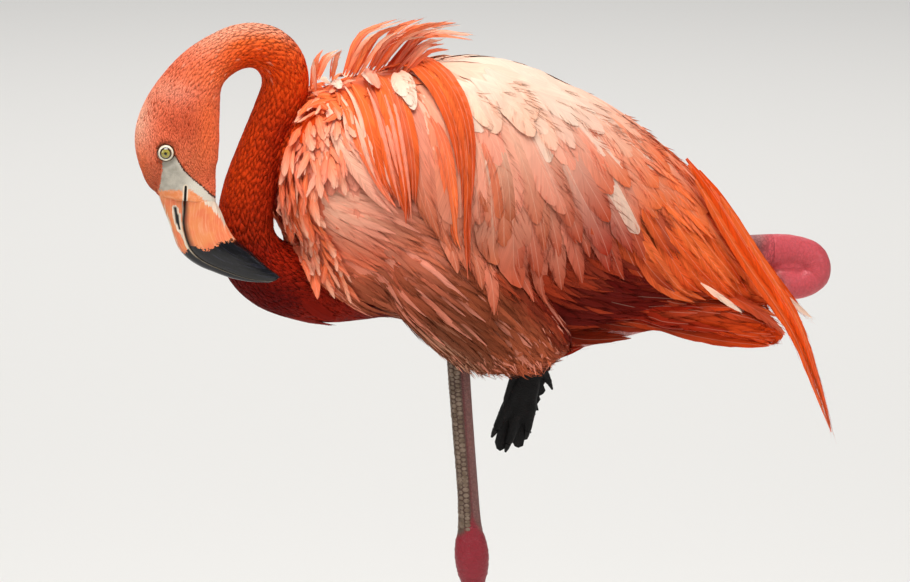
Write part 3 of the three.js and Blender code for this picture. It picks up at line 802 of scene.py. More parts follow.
def scatter(seed, spacing, wanted):
    # roots on the hide, no two closer than the spacing; wanted(points, normals) is the mask of the region
    rng = np.random.default_rng(seed)
    keep = wanted(cornerPoints.mean(1), faceNormals)
    index = np.nonzero(keep)[0]
    area = faceAreas[index]
    count = int(5.0 * area.sum() / spacing**2)  # five tries for each place
    chosen = rng.choice(index, count, p=area / area.sum())
    a, b = rng.random(count), rng.random(count)
    flip = a + b > 1
    a[flip], b[flip] = 1 - a[flip], 1 - b[flip]
    corner = cornerPoints[chosen]
    first, second, third = corner[:, 0], corner[:, 1], corner[:, 2]
    points = first + a[:, None] * (second - first) + b[:, None] * (third - first)
    cells = {}
    taken = []
    for i, point in enumerate(points):
        x, y, z = (point // spacing).astype(int)
        near = (cells.get((x + i1, y + j1, z + k1), ()) for i1, j1, k1 in product((-1, 0, 1), repeat=3))
        if all(((point - other) ** 2).sum() > spacing**2 for group in near for other in group):
            cells.setdefault((x, y, z), []).append(point)
            taken.append(i)
    normals = unit(skinNormals[guideCorners[chosen[taken]]].mean(1))
    return points[taken], normals


vaneShapes = {  # half width along the vane, over its widest: places and shares
    "rounded": ([0, 0.12, 0.3, 0.55, 0.78, 0.9, 0.97, 1], [0.12, 0.45, 0.85, 1, 0.92, 0.68, 0.4, 0.08]),
    "lance": ([0, 0.1, 0.3, 0.5, 0.75, 0.92, 1], [0.15, 0.6, 0.98, 1, 0.7, 0.3, 0.05]),
    "tapered": ([0, 0.12, 0.3, 0.5, 0.7, 0.85, 0.95, 1], [0.15, 0.5, 0.88, 1, 0.9, 0.62, 0.3, 0.05]),
    "silk": ([0, 0.15, 0.5, 0.8, 1], [0.3, 0.9, 1, 0.6, 0.08]),
    "quill": ([0, 0.1, 0.4, 0.7, 1], [0.3, 0.8, 1, 0.6, 0.04]),
}


def vaneTemplate(seed, shape, rows, ragged, barbs, dome=0.12, barbFrom=0.25):
    # one feather's vane, flat: across from -1 to 1, along from 0 to 1, raised off its middle plane
    rng = np.random.default_rng(seed)
    marks, widths = vaneShapes[shape]
    v = np.linspace(0, 1, rows + 1)
    points, faces = [], []
    for face in (1, -1):  # upper face, then lower face
        for side in (-1, 1):
            slant = 0.35 / rows
            rngSide = np.random.default_rng(seed * 7 + side + 3)
            edge = np.clip(v + np.where(np.arange(rows + 1) % 2, slant, 0), 0, 1)
            wide = np.interp(edge, marks, widths)
            notch = 1 - ragged * rngSide.random(rows + 1) * np.where(np.arange(rows + 1) % 2, 0.35, 1.0)
            notch[[0, -1]] = 1
            base = len(points)
            for k in range(rows + 1):
                points.append((0.0, v[k], dome if face > 0 else dome * 0.3))
                points.append((side * wide[k] * notch[k], edge[k], 0.0))
            for k in range(rows):
                a, b, c, d = base + 2 * k, base + 2 * k + 1, base + 2 * k + 3, base + 2 * k + 2
                quad = [(a, b, c), (a, c, d)] if side * face < 0 else [(a, c, b), (a, d, c)]
                faces += quad
    for _ in range(barbs):  # loose barbs that leave the edge, each a sliver
        side = rng.choice((-1, 1))
        at = rng.uniform(barbFrom, 0.95)
        half = np.interp(at, marks, widths)
        reach = rng.uniform(0.10, 0.2)
        tipAcross = side * (half * rng.uniform(0.95, 1.15) + rng.uniform(0.0, 0.28))
        base = len(points)
        root = side * half * 0.55
        points += [(root, at, 0.06), (root + side * 0.05, at + 0.016, 0.06), (root, at + 0.008, -0.05),
                   (tipAcross, min(at + reach, 1.08), rng.uniform(-0.05, 0.3))]
        a, b, c, d = range(base, base + 4)
        faces += [(a, b, c), (a, d, b), (b, d, c), (c, d, a)]
    return np.array(points, float), np.array(faces, int)


def vanes(count, seed, *shape):
    return [vaneTemplate(seed + k, *shape) for k in range(count)]


def tuftTemplate():
    points = [(0, 0, 0), (-1, 0.5, 0), (1, 0.5, 0), (0, 1, 0), (0, 0.5, 0.1)]
    faces = [(0, 4, 1), (1, 4, 3), (3, 4, 2), (2, 4, 0), (0, 1, 2), (1, 3, 2)]
    return np.array(points, float), np.array(faces, int)


def lay(rng, roots, normals, towards, length, lift, base, stiff, steps, spread=0.0, rootShare=0.35):
    # each feather's path over the hide, rising from its root to its tip; towards(points) is the direction
    # wanted there, and a root starts at a share of its base height
    count = len(roots)
    length = np.broadcast_to(length, (count,)).astype(float)
    lift = np.broadcast_to(lift, (count,)).astype(float)
    base = np.broadcast_to(base, (count,)).astype(float)
    place, normal = roots.copy(), normals.copy()
    path, frames = [place + normal * (base * rootShare)[:, None]], [normal]
    bend = rng.normal(0, spread, (count, 3)) if spread else np.zeros(3)
    for k in range(1, steps + 1):
        along = towards(place) + bend
        along = unit(along - dot(along, normal) * normal)
        ahead = path[-1] + along * (length / steps)[:, None]
        near, normal = ontoSkin(ahead)
        height = dot(ahead - near, normal)[:, 0]
        aim = base * (rootShare + (1 - rootShare) * min(1, 3.5 * k / steps)) + lift * (k / steps) ** 1.2
        height = np.where(height > aim, aim + (height - aim) * stiff, aim)
        path.append(near + normal * height[:, None])
        frames.append(normal)
        place = near
    path, frames = np.stack(path, 1), np.stack(frames, 1)
    frames[:, 1:-1] = unit(frames[:, :-2] + frames[:, 1:-1] + frames[:, 2:])
    return path, frames


def grow(name, paths, frames, halfWidth, templates, rootTone, tipTone, material, slot, seed, roll,
         replaces=(), camber=0.25, toneBend=1.0, barbEdgeLight=0.12):
    # vanes along the paths, joined to one mesh, or to several of up to 190,000 triangles
    rng = np.random.default_rng(seed)
    paths, frames = np.array(paths), np.array(frames)
    count, steps = paths.shape[:2]
    halfWidth = np.broadcast_to(halfWidth, (count,)).astype(float)
    along = unit(np.gradient(paths, axis=1))
    up = unit(frames - dot(frames, along) * along)
    side = np.cross(along, up)
    angle = np.radians(rng.normal(0, 1, count) * roll)[:, None, None]
    up, side = up * np.cos(angle) + side * np.sin(angle), side * np.cos(angle) - up * np.sin(angle)
    length = np.linalg.norm(np.diff(paths, axis=1), axis=2).sum(1)
    patch = unwrapped(paths[:, 0])
    which = rng.integers(0, len(templates), count)
    shift = rng.uniform(0, 1000, count)
    parts = []
    start = 0
    for number, (flat, faces) in enumerate(templates):
        chosen = np.nonzero(which == number)[0]
        if not len(chosen):
            continue
        weights = curveWeights(steps, np.clip(flat[:, 1], 0, 1) * (steps - 1))
        centre = np.einsum("vm,fmc->fvc", weights, paths[chosen])
        over = np.maximum(flat[:, 1] - 1, 0)[None, :, None] * length[chosen, None, None]
        centre = centre + over * along[chosen, -1][:, None]
        upHere = np.einsum("vm,fmc->fvc", weights, up[chosen])
        sideHere = np.einsum("vm,fmc->fvc", weights, side[chosen])
        half = halfWidth[chosen, None, None]
        points = (centre + sideHere * flat[None, :, 0:1] * half
                  + upHere * (flat[None, :, 2:3] - camber * flat[None, :, 0:1] ** 2) * half)
        share = np.clip(flat[:, 1], 0, 1)[None, :, None] ** toneBend
        colour = rootTone[chosen][:, None] * (1 - share) + tipTone[chosen][:, None] * share
        # the vane's edge and its loose barbs are lightened: pale fringes, and painted light that offsets
        # their shade
        colour *= 1 + (np.abs(flat[:, 0]) > 0.95)[None, :, None] * barbEdgeLight
        upwards = flat[None, :, 1] * length[chosen, None] + shift[chosen, None]
        uv = np.stack([flat[None, :, 0] * half[..., 0], upwards], 2)
        bake = patch[chosen][:, None] + 0.0015 * np.stack([flat[:, 0], flat[:, 1] * 2 - 1], 1)[None]
        corners = faces[None] + (np.arange(len(chosen)) * len(flat))[:, None, None] + start
        start += len(chosen) * len(flat)
        parts.append([part.reshape(-1, part.shape[-1]) for part in (points, corners, colour, uv, bake)])
    points, corners, colour, uv, bake = (np.vstack([part[k] for part in parts]) for k in range(5))
    total = len(corners)
    pieces = math.ceil(total / 190000)
    for piece, group in enumerate(np.array_split(corners, pieces)):
        title = name if pieces == 1 else f"{name}{piece + 1}"
        used, compact = np.unique(group, return_inverse=True)
        corners = compact.reshape(-1, 3)
        item = makeCoat(title, points[used], corners, colour[used], uv[used], bake[used], material)
        if piece == 0 and replaces:
            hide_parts(*replaces)
    print(name, count, "feathers", total, "triangles")


def makeCoat(name, points, corners, colour, uv, bake, material):
    mesh = bpy.data.meshes.new(name)
    mesh.vertices.add(len(points))
    mesh.vertices.foreach_set("co", (points * mm).astype(np.float32).ravel())
    mesh.loops.add(corners.size)
    mesh.loops.foreach_set("vertex_index", corners.astype(np.int32).ravel())
    mesh.polygons.add(len(corners))
    mesh.polygons.foreach_set("loop_start", np.arange(0, corners.size, 3, dtype=np.int32))
    mesh.update(calc_edges=True)
    mesh.shade_smooth()
    paint(mesh, "tint", np.clip(colour, 0, 1))
    setUv(mesh, "vane", uv[corners.ravel()])
    setUv(mesh, "OFBake", bake[corners.ravel()])
    item = addObject(name, mesh, material)
    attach(item, "root")
    return item


def varied(rng, colour, light, other=None, share=0.0):
    # the same tone with a feather's own small difference, and some feathers in another tone
    out = colour * (1 + rng.normal(0, light, (len(colour), 1)))
    if other is not None:
        pick = rng.random(len(colour)) < share
        out[pick] = out[pick] * 0.25 + other * 0.75
    return np.clip(out, 0.001, 1)


# the bill: two halves of horn, bent down in the middle, with a black tip
billStations = np.array([  # forward and up of the ridge, the gape and the chin, then the half width
    (-15.4, -42.9, 6.5, -46.8, 28.2, -49.4, 12.9), (-10.9, -55.4, 5.8, -55.0, 33.2, -58.5, 12.3),
    (-6.5, -67.0, 5.0, -66.4, 37.6, -69.5, 12.0), (-0.6, -84.0, 8.2, -80.6, 44.0, -79.7, 11.8),
    (6.2, -92.9, 13.9, -89.4, 50.2, -84.6, 11.0), (16.1, -99.9, 22.3, -95.8, 56.6, -89.9, 9.6),
    (26.6, -104.4, 34.0, -101.6, 62.5, -95.6, 7.6), (39.1, -109.1, 48.0, -107.2, 68.3, -101.1, 5.6),
    (54.6, -112.4, 62.0, -110.6, 74.4, -105.7, 3.8), (69.0, -113.2, 73.4, -111.8, 78.0, -108.8, 2.2),
], float)
blackEdge = [
    (-30, -88.6), (4.7, -88.9), (8.8, -85.5), (10.4, -79.8), (14.4, -83.4), (20, -86.9), (24.2, -86.2),
    (29, -82.6), (33.9, -80.2), (42.9, -79.2), (60, -79),
]
paleChin = [
    (0, -34), (9.4, -41.5), (14, -44), (19.5, -48.5), (26.5, -54.5), (33, -63), (38, -72), (42, -79),
    (60, -79), (60, -40), (30, -34),
]
nostrilLine = [(-1.7, -53.2), (-0.4, -61), (1.6, -70.2)]


def billRings(lower):
    rows = through(billStations, np.linspace(0, len(billStations) - 1, 150))
    angle = np.linspace(0, math.pi, 44)
    rings, gapeDistance = [], []
    for ridgeX, ridgeZ, gapeX, gapeZ, chinX, chinZ, half in rows:
        edge = np.array((chinX, chinZ) if lower else (ridgeX, ridgeZ))
        gape = np.array((gapeX, gapeZ))
        wide = half if lower else half * 0.86
        start = 0.15 / np.linalg.norm(edge - gape)
        reach = start + (1 - start) * np.sin(angle) ** 0.75
        flat = gape + (edge - gape) * reach[:, None]
        across = wide * squared(np.cos(angle), 0.75)
        if not lower:  # the upper half's cutting edge turns in under itself a little
            across = across * (1 - 0.05 * np.exp(-((reach - 0.05) / 0.06) ** 2))
        ring = headPoint(flat[:, 0], across, flat[:, 1])
        walked = walkedAlong(ring)
        rings.append(ring)
        gapeDistance.append(np.minimum(walked, walked[-1] - walked))
    return np.array(rings), np.array(gapeDistance)


def billMaterial():
    # keratin horn: satin over the pink blood-coloured part, polished where it is black
    material, tree, surface = newMaterial("satinBillHorn", **{"Specular IOR Level": 0.45, "IOR": 1.54})
    place = addNode(tree, "ShaderNodeTexCoord", output="Object")
    horn = addNode(tree, "ShaderNodeUVMap", uv_map="hornMap")
    stretched = addNode(tree, "ShaderNodeMapping", {"Vector": horn, "Scale": (1, 0.09, 1)})
    streak = addNode(tree, "ShaderNodeTexNoise", {"Vector": stretched, "Scale": 0.75, "Detail": 3.0})
    ridges = addNode(tree, "ShaderNodeTexNoise", {"Vector": stretched, "Scale": 1.3, "Detail": 1.0})
    wide, fine = [
        addNode(tree, "ShaderNodeTexNoise", {"Vector": place, "Scale": 1 / (size * mm), "Detail": detail})
        for size, detail in ((9, 2), (0.8, 2))]
    edge = addNode(tree, "ShaderNodeTexNoise", {
        "Vector": place, "Scale": 1 / (2.2 * mm), "Detail": 3.0, "Roughness": 0.7})
    black, pale, tomium, dark = [addNode(tree, "ShaderNodeAttribute", output="Fac", attribute_name=name)
                                 for name in ("black", "pale", "tomium", "dark")]
    ragged = addNode(tree, "ShaderNodeMapRange", [edge, 0.25, 0.75, -2.2, 2.2], **eased)
    black = addNode(tree, "ShaderNodeMath", [black, ragged], operation="ADD")
    uneven = addNode(tree, "ShaderNodeMapRange", [streak, 0.3, 0.7, -0.3, 0.3], **eased)
    pale = addNode(tree, "ShaderNodeMath", [pale, uneven], operation="ADD")
    black, cloudy, brushed, grown, glint, pale = [
        addNode(tree, "ShaderNodeMapRange", row, **eased) for row in (
            [black, -0.25, 0.25], [wide, 0.35, 0.65], [streak, 0.45, 0.75, 0.0, 0.55],
            [streak, 0.35, 0.65], [streak, 0.52, 0.72, 0.0, 0.8], [pale, 0.3, 0.6])]
    bone = layered(tree, rgba("#d3bfa8"), (grown, rgba("#efdcc4")))
    # glint: painted highlight streaks on the black tip
    ink = layered(tree, rgba("#050406"), (glint, rgba("#2b2a38")))
    # dark: painted shadow in the gap along the cutting edges and painted shade in the nostril slit
    colour = layered(tree, rgba("#ee8c52"), (cloudy, rgba("#ec7a4b")), (brushed, rgba("#f9b48a")),
                     (pale, bone),
                     # tomium: a pale cutting edge, on the upper half partly a painted highlight
                     (black, ink), (tomium, rgba("#f1dcbc")), (dark, rgba("#0b0908")))
    polish = addNode(tree, "ShaderNodeMapRange", [black, 0.0, 1.0, 0.5, 0.13], **eased)
    tree.links.new(polish, surface.inputs["Roughness"])
    fine = addNode(tree, "ShaderNodeMath", [fine, 0.1], operation="MULTIPLY")
    height = addNode(tree, "ShaderNodeMath", [ridges, fine], operation="ADD")
    finish(tree, surface, colour, height, 0.22, 0.6)
    return material


def buildBill():
    horn = billMaterial()
    for lower, name in ((False, "billUpper"), (True, "billLower")):
        rings, gapeDistance = billRings(lower)
        points, faces = ringSolid(rings)
        count = len(points)
        distance = np.append(gapeDistance.ravel(), [5.0, 1.0])
        mesh = solidMesh(name, points, faces)
        along = walkedAlong(rings.mean(1))
        streakUv = np.stack([distance, np.append(np.repeat(along, rings.shape[1]), [along[0], along[-1]])], 1)
        setUv(mesh, "hornMap", streakUv[loopCorners(mesh)])
        forward, sideways, up = headParts(points)
        flat = np.stack([forward, up], 1)
        black = np.interp(forward, [p[0] for p in blackEdge], [p[1] for p in blackEdge]) - up
        slit = np.minimum(segmentDistance(flat, *nostrilLine[:2]), segmentDistance(flat, *nostrilLine[1:]))
        onSide = smoothstep(2.5, 5, np.abs(sideways))
        dark, tomium, pale = np.zeros(count), np.zeros(count), np.zeros(count)
        if lower:
            # painted shadow: a black band along the lower half's cutting edge, where the gap between the
            # halves lies in shade
            thick = 1.5 + 1.9 * smoothstep(-56, -80, up)
            dark = smoothstep(thick + 0.35, thick - 0.2, distance)
            tomium = 0.75 * smoothstep(thick + 0.1, thick + 0.5, distance) * smoothstep(-84, -78, up)
            tomium *= smoothstep(thick + 1.5, thick + 0.9, distance)
            chinGap = outlineDistance(flat, paleChin)
            pale = smoothstep(-2.5, 3.0, chinGap) * (0.55 + 0.45 * smoothstep(-74, -58, up))
        else:
            # tomium: a pale line along the cutting edge, partly a painted highlight
            tomium = 0.9 * smoothstep(1.9, 1.2, distance) * smoothstep(0.2, 0.6, distance)
            tomium *= (1 - 0.62 * smoothstep(-88, -94, up)) * (1 - 0.3 * smoothstep(-95, -105, up))
            # painted shadow along the upper half's cutting edge, and painted shade in the sunk nostril slit
            dark = smoothstep(0.35, 0.1, distance)
            width = np.interp(up, [-71, -64, -56, -52.5], [0.5, 1.3, 1.1, 0.35])
            dark = np.maximum(dark, smoothstep(width + 0.35, width, slit) * onSide)
            rim = smoothstep(width + 1.9, width + 1.1, slit) * onSide
            trail = smoothstep(1.3, 0.6, segmentDistance(flat, nostrilLine[2], (8.0, -85))) * onSide
            ridge = 0.65 * smoothstep(9.0, 4.0, np.abs(sideways)) + 0.5 * smoothstep(4.2, 2.2, distance)
            pale = np.maximum.reduce([rim, trail * 0.9, ridge])
            sunk = smoothstep(width + 0.9, width, slit)
            sunk -= 0.35 * smoothstep(2.6, 1.6, slit) * smoothstep(0.8, 1.4, slit)
            setPlaces(mesh, points - meshNormals(mesh) * (sunk * onSide)[:, None])
        for key, values in (("black", black), ("dark", dark), ("tomium", tomium), ("pale", pale)):
            paint(mesh, key, values)
        item = addObject(name, mesh, horn)
        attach(item, "root")
        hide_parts("bill_lower" if lower else "bill_upper")
    print("bill")


eyeSizes = {"pupil": 1.0, "iris": 3.25, "lidOpening": 4.3, "lidEdge": 7.1, "lidSteps": 96}
lidProfile = [  # share of the way from the opening to the edge, height over the ball or the face
    (0.0, 0.05), (0.06, 0.45), (0.2, 0.75), (0.38, 0.85), (0.55, 0.6), (0.68, 0.42), (0.82, 0.35),
    (1.0, -0.6),
]


def eyeMaterial():
    # a wet eye: clear cornea over a yellow iris with a thin brown rim
    material, tree, surface = newMaterial("wetYellowEye", **{
        "Roughness": 0.12, "Coat Weight": 1.0, "Coat Roughness": 0.03, "Specular IOR Level": 0.5})
    radius = addNode(tree, "ShaderNodeAttribute", output="Fac", attribute_name="iris")
    place = addNode(tree, "ShaderNodeTexCoord", output="Object")
    flecks = addNode(tree, "ShaderNodeTexNoise", {"Vector": place, "Scale": 1 / (0.7 * mm), "Detail": 3})
    pupil, iris = eyeSizes["pupil"], eyeSizes["iris"]
    fleck, yellow, rim = [addNode(tree, "ShaderNodeMapRange", row, **eased) for row in (
        [flecks, 0.35, 0.7], [radius, pupil, pupil + 0.3], [radius, iris - 0.2, iris + 0.3])]
    gold = layered(tree, rgba("#b3a43e"), (fleck, rgba("#84742a")))
    colour = layered(tree, rgba("#050404"), (yellow, gold), (rim, rgba("#3a2210")))
    tree.links.new(colour, surface.inputs["Base Color"])
    return material


def lidMaterial():
    # bare lid skin: fine wrinkles, cream on its crest, a dark line outside it
    material, tree, surface = newMaterial("wrinkledLidSkin", **{"Roughness": 0.5, "Specular IOR Level": 0.35})
    radius, shade = [addNode(tree, "ShaderNodeAttribute", output="Fac", attribute_name=name)
                     for name in ("ring", "shade")]
    place = addNode(tree, "ShaderNodeTexCoord", output="Object")
    cream, wrinkles = [
        addNode(tree, "ShaderNodeTexNoise", {"Vector": place, "Scale": 1 / (size * mm), "Detail": detail})
        for size, detail in ((1, 3), (0.5, 2))]
    cream, inner, outer = [addNode(tree, "ShaderNodeMapRange", row, **eased) for row in (
        [cream, 0.35, 0.65], [radius, 4.9, 4.45], [radius, 5.7, 6.2])]
    outer = addNode(tree, "ShaderNodeMath", [outer, shade], operation="MULTIPLY")
    colour = layered(tree, rgba("#d9cfae"), (cream, rgba("#f6f1df")), (inner, rgba("#5e3d1e")),
                     (outer, rgba("#917466")))
    finish(tree, surface, colour, wrinkles, 0.12, 0.6)
    return material


def buildEye(side, name, material):
    centre = headPoint(eyePlace["forward"], side * eyePlace["sideways"], eyePlace["up"])
    out = headSide * side
    latitude = np.linspace(0.02, math.pi - 0.02, 34)
    turn = np.linspace(0, 2 * math.pi, 48, endpoint=False)
    ball = eyePlace["radius"]
    ray = np.cos(turn)[:, None] * headAlong + np.sin(turn)[:, None] * upward
    points, faces = ringSolid([centre + out * ball * math.cos(a) + ray * ball * math.sin(a)
                               for a in latitude])
    mesh = solidMesh(f"eye{name}", points, faces)
    away = points - centre
    outwards = away @ out
    paint(mesh, "iris", np.where(outwards > 0, np.linalg.norm(away - outwards[:, None] * out, axis=1), 8.0))
    item = addObject(f"eye{name}", mesh, material)
    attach(item, "root")
    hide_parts(f"eye_{name.lower()}")
    return centre, out


def buildLid(name, centre, out, material):
    # a swept ring of skin that leaves the ball at the opening and meets the face at its edge
    ball, edge, wallAway = eyePlace["radius"], eyeSizes["lidEdge"], 30
    angle = np.linspace(0, 2 * math.pi, eyeSizes["lidSteps"], endpoint=False)
    ray = np.cos(angle)[:, None] * headAlong + np.sin(angle)[:, None] * upward
    opening = eyeSizes["lidOpening"] * (0.95 + 0.09 * np.sin(angle) ** 2)
    loops = []
    for share, raised in lidProfile:
        radius = opening + (edge - opening) * share
        onBall = np.sqrt(np.maximum(ball**2 - np.minimum(radius, ball * 0.97) ** 2, 0))
        hits = [skinTree.ray_cast(Vector(p), Vector(-out))
                for p in centre + ray * radius[:, None] + out * wallAway]
        onSkin = np.array([wallAway - hit[3] if hit[0] is not None else 0 for hit in hits])
        landed = smoothstep(0.45, 1.0, share)
        height = np.maximum(onBall, onSkin) * (1 - landed) + onSkin * landed
        loops.append(centre + ray * radius[:, None] + out * (height + raised)[:, None])
    for share in (0.9, 0.4):  # back under itself, inside the ball
        radius = opening + (edge - opening) * share
        height = np.sqrt(np.maximum(ball**2 - np.minimum(radius, ball) ** 2, 0)) - 1.2
        loops.append(centre + ray * radius[:, None] + out * height[:, None])
    rings = np.swapaxes(np.array(loops), 0, 1)  # one section for each step round the eye
    count, sides = rings.shape[:2]
    points = rings.reshape(-1, 3)
    faces = []
    for i in range(count):
        here, there = i * sides, (i + 1) % count * sides
        faces += [(here + j, here + (j + 1) % sides, there + (j + 1) % sides, there + j)
                  for j in range(sides)]
    mesh = solidMesh(f"lid{name}", points, faces)
    away = points - centre
    flat = away - (away @ out)[:, None] * out
    forward, _, up = headParts(points)
    high = (up - eyePlace["up"] + (forward - eyePlace["forward"]) * 0.6) / 7
    # the pale rim is widest above and behind
    paint(mesh, "ring", np.linalg.norm(flat, axis=1) - 0.35 * high + 0.1)
    paint(mesh, "shade", 0.35 + 0.65 * smoothstep(0.9, -0.3, high))
    item = addObject(f"lid{name}", mesh, material)
    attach(item, "root")


def buildEyes():
    wet, lidSkin = eyeMaterial(), lidMaterial()
    for side, name in ((-1, "Left"), (1, "Right")):
        centre, out = buildEye(side, name, wet)
        buildLid(name, centre, out, lidSkin)
    print("eyes and lids")


legSizes = {"sides": 40, "ringStep": 1.2, "scuteWide": 5.0, "scuteTall": 3.7, "scuteThick": 0.36,
            "scuteSeed": 5,
            "scuteRows": 5, "firstRow": -1.1, "rowStep": 0.55}
# stations, the hock's first and last, tones of front, rear and hock, how near to the hock the scutes come
legLooks = [
    ("Left", legLeft, (3, 7, "#5a4438", "#845953", "#93202e"), 0.1, 0.2),
    ("Right", legRight, (2, 7, "#a87262", "#c88a86", "#cf525a"), -0.4, 0.6)]


def legMaterial(name, grainSize, roughness, seamShade, depth):
    # horny scales on dry skin: matt between the scales, a little polish on their tops
    material, tree, surface = newMaterial(name, **{"Roughness": roughness, "Specular IOR Level": 0.4})
    uv = addNode(tree, "ShaderNodeUVMap", uv_map="skinMap")
    place = addNode(tree, "ShaderNodeTexCoord", output="Object")
    scales = addNode(tree, "ShaderNodeTexVoronoi", {"Vector": uv, "Scale": 1 / grainSize},
                     feature="DISTANCE_TO_EDGE")
    seams = addNode(tree, "ShaderNodeMapRange", [scales, 0.02, 0.16], **eased)
    tint = addNode(tree, "ShaderNodeAttribute", attribute_name="tint")
    patchy, fine = [
        addNode(tree, "ShaderNodeTexNoise", {"Vector": place, "Scale": 1 / (size * mm), "Detail": detail})
        for size, detail in ((3, 4), (0.6, 2))]
    patchy = addNode(tree, "ShaderNodeMapRange", [patchy, 0.35, 0.7, 0.0, 0.4], **eased)
    colour = addNode(tree, "ShaderNodeMix", {0: patchy, 6: tint, 7: rgba("#b59a8e")}, 2, **colourMix,
                     blend_type="SOFT_LIGHT")
    colour = layered(tree, layered(tree, colour, (seamShade, rgba("#3a1c1c"))), (seams, colour))
    fine = addNode(tree, "ShaderNodeMath", [fine, 0.4], operation="MULTIPLY")
    height = addNode(tree, "ShaderNodeMath", [seams, fine], operation="ADD")
    finish(tree, surface, colour, height, depth, 0.8)
    return material


def legTones(t, angle, hockFirst, hockLast, frontTone, rearTone, hockTone):
    # dusky front, paler back, a dark red line between them, crimson over the hock
    front = smoothstep(-0.1, 0.25, -np.cos(angle))[:, None]
    colour = linear(frontTone) * front + linear(rearTone) * (1 - front)
    line = np.exp(-(np.abs(np.cos(angle) - 0.05) / 0.09) ** 2)[:, None]
    colour = colour * (1 - 0.8 * line) + linear("#6a1620") * 0.8 * line
    reach = 0.75 * np.abs(np.cos(angle)) ** 1.2 - 0.35  # the crimson runs up the side as a wedge
    hock = smoothstep(hockFirst - 0.2 + reach, hockFirst + 0.25 + reach, t)[:, None]
    hock = hock * smoothstep(hockLast + 0.35, hockLast - 0.4, t)[:, None]
    return colour * (1 - hock) + linear(hockTone) * hock


def legPiece(name, node, stations, first, last, hockSpan, material, folded=False):
    walked = walkedAlong(stations[:, :3])
    index = np.arange(len(walked))
    low, high = np.interp([first, last], index, walked)
    steps, sides = max(8, int((high - low) / legSizes["ringStep"])), legSizes["sides"]
    points, faces = ringSolid(sweepRings(stations, first, last, steps, sides))
    t = np.append(np.repeat(np.linspace(first, last, steps), sides), [first, last])
    # a ring starts at its side axis; its second quarter faces backwards on the way down
    turn = np.append(np.tile(np.linspace(0, 2 * math.pi, sides, endpoint=False), steps), [0, 0])
    facing = turn - math.pi / 2
    mesh = solidMesh(name, points, faces)
    if folded:  # fine folds of skin over the knob
        folds = np.sin(t * 46) * 0.10 + np.sin(facing * 9 + t * 12) * 0.12
        setPlaces(mesh, points + meshNormals(mesh) * folds[:, None])
    backwards = unit(points - through(stations, t)[:, :3])[:, 0]
    paint(mesh, "tint", legTones(t, np.arccos(np.clip(backwards, -1, 1)), *hockSpan))
    uv = np.stack([facing * 7.5, np.interp(t, index, walked)], 1)
    setUv(mesh, "skinMap", uv[loopCorners(mesh)])
    item = addObject(name, mesh, material)
    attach(item, "root")
    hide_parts(node)
    return item


def scuteTree(material):
    # horny scutes set on points: each a flattened dome, turned to its place's normal and lie
    tree = bpy.data.node_groups.new("legScutes", "GeometryNodeTree")
    tree.interface.new_socket("Geometry", in_out="INPUT", socket_type="NodeSocketGeometry")
    values = {}  # what each input is set to, by its identifier
    for name, kind, key in (("Scute width", "Float", "scuteWide"), ("Scute height", "Float", "scuteTall"),
                            ("Scute thickness", "Float", "scuteThick"), ("Seed", "Int", "scuteSeed")):
        socket = tree.interface.new_socket(name, in_out="INPUT", socket_type=f"NodeSocket{kind}")
        values[socket.identifier] = legSizes[key]
    tree.interface.new_socket("Geometry", in_out="OUTPUT", socket_type="NodeSocketGeometry")
    given, end = tree.nodes.new("NodeGroupInput").outputs, tree.nodes.new("NodeGroupOutput")
    dome = addNode(tree, "GeometryNodeMeshUVSphere", {"Segments": 8, "Rings": 5, "Radius": 0.5 * mm})
    out, lieHere = [addNode(tree, "GeometryNodeInputNamedAttribute", {"Name": name}, "Attribute",
                            data_type="FLOAT_VECTOR")
                    for name in ("out", "lie")]
    upright = addNode(tree, "FunctionNodeAlignRotationToVector", {"Vector": out}, axis="Z")
    turned = addNode(tree, "FunctionNodeAlignRotationToVector", {"Rotation": upright, "Vector": lieHere},
                     axis="Y", pivot_axis="Z")
    size = addNode(tree, "ShaderNodeCombineXYZ",
                   [given["Scute width"], given["Scute height"], given["Scute thickness"]])
    vary = addNode(tree, "FunctionNodeRandomValue", {"Min": 0.75, "Max": 1.15, "Seed": given["Seed"]}, 1,
                   data_type="FLOAT")
    size = addNode(tree, "ShaderNodeVectorMath", {0: size, "Scale": vary}, operation="SCALE")
    placed = addNode(tree, "GeometryNodeInstanceOnPoints", {
        "Points": given["Geometry"], "Instance": dome, "Rotation": turned, "Scale": size})
    real = addNode(tree, "GeometryNodeRealizeInstances", {"Geometry": placed})
    rounded = addNode(tree, "GeometryNodeSetShadeSmooth", [real])
    done = addNode(tree, "GeometryNodeSetMaterial", {"Geometry": rounded, "Material": material})
    tree.links.new(done, end.inputs[0])
    return tree, values


def setScutes(name, tree, values, points, out, lieHere, slot):
    mesh = bpy.data.meshes.new(name)
    mesh.from_pydata((points * mm).tolist(), [], [])
    for key, vectors in (("out", out), ("lie", lieHere)):
        layer = mesh.attributes.new(key, "FLOAT_VECTOR", "POINT")
        layer.data.foreach_set("vector", vectors.astype(np.float32).ravel())
    item = addObject(name, mesh)
    modifier = item.modifiers.new("scutes", "NODES")
    modifier.node_group = tree
    for identifier, value in values.items():
        modifier[identifier] = value
    settled(item)
    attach(item, "root")


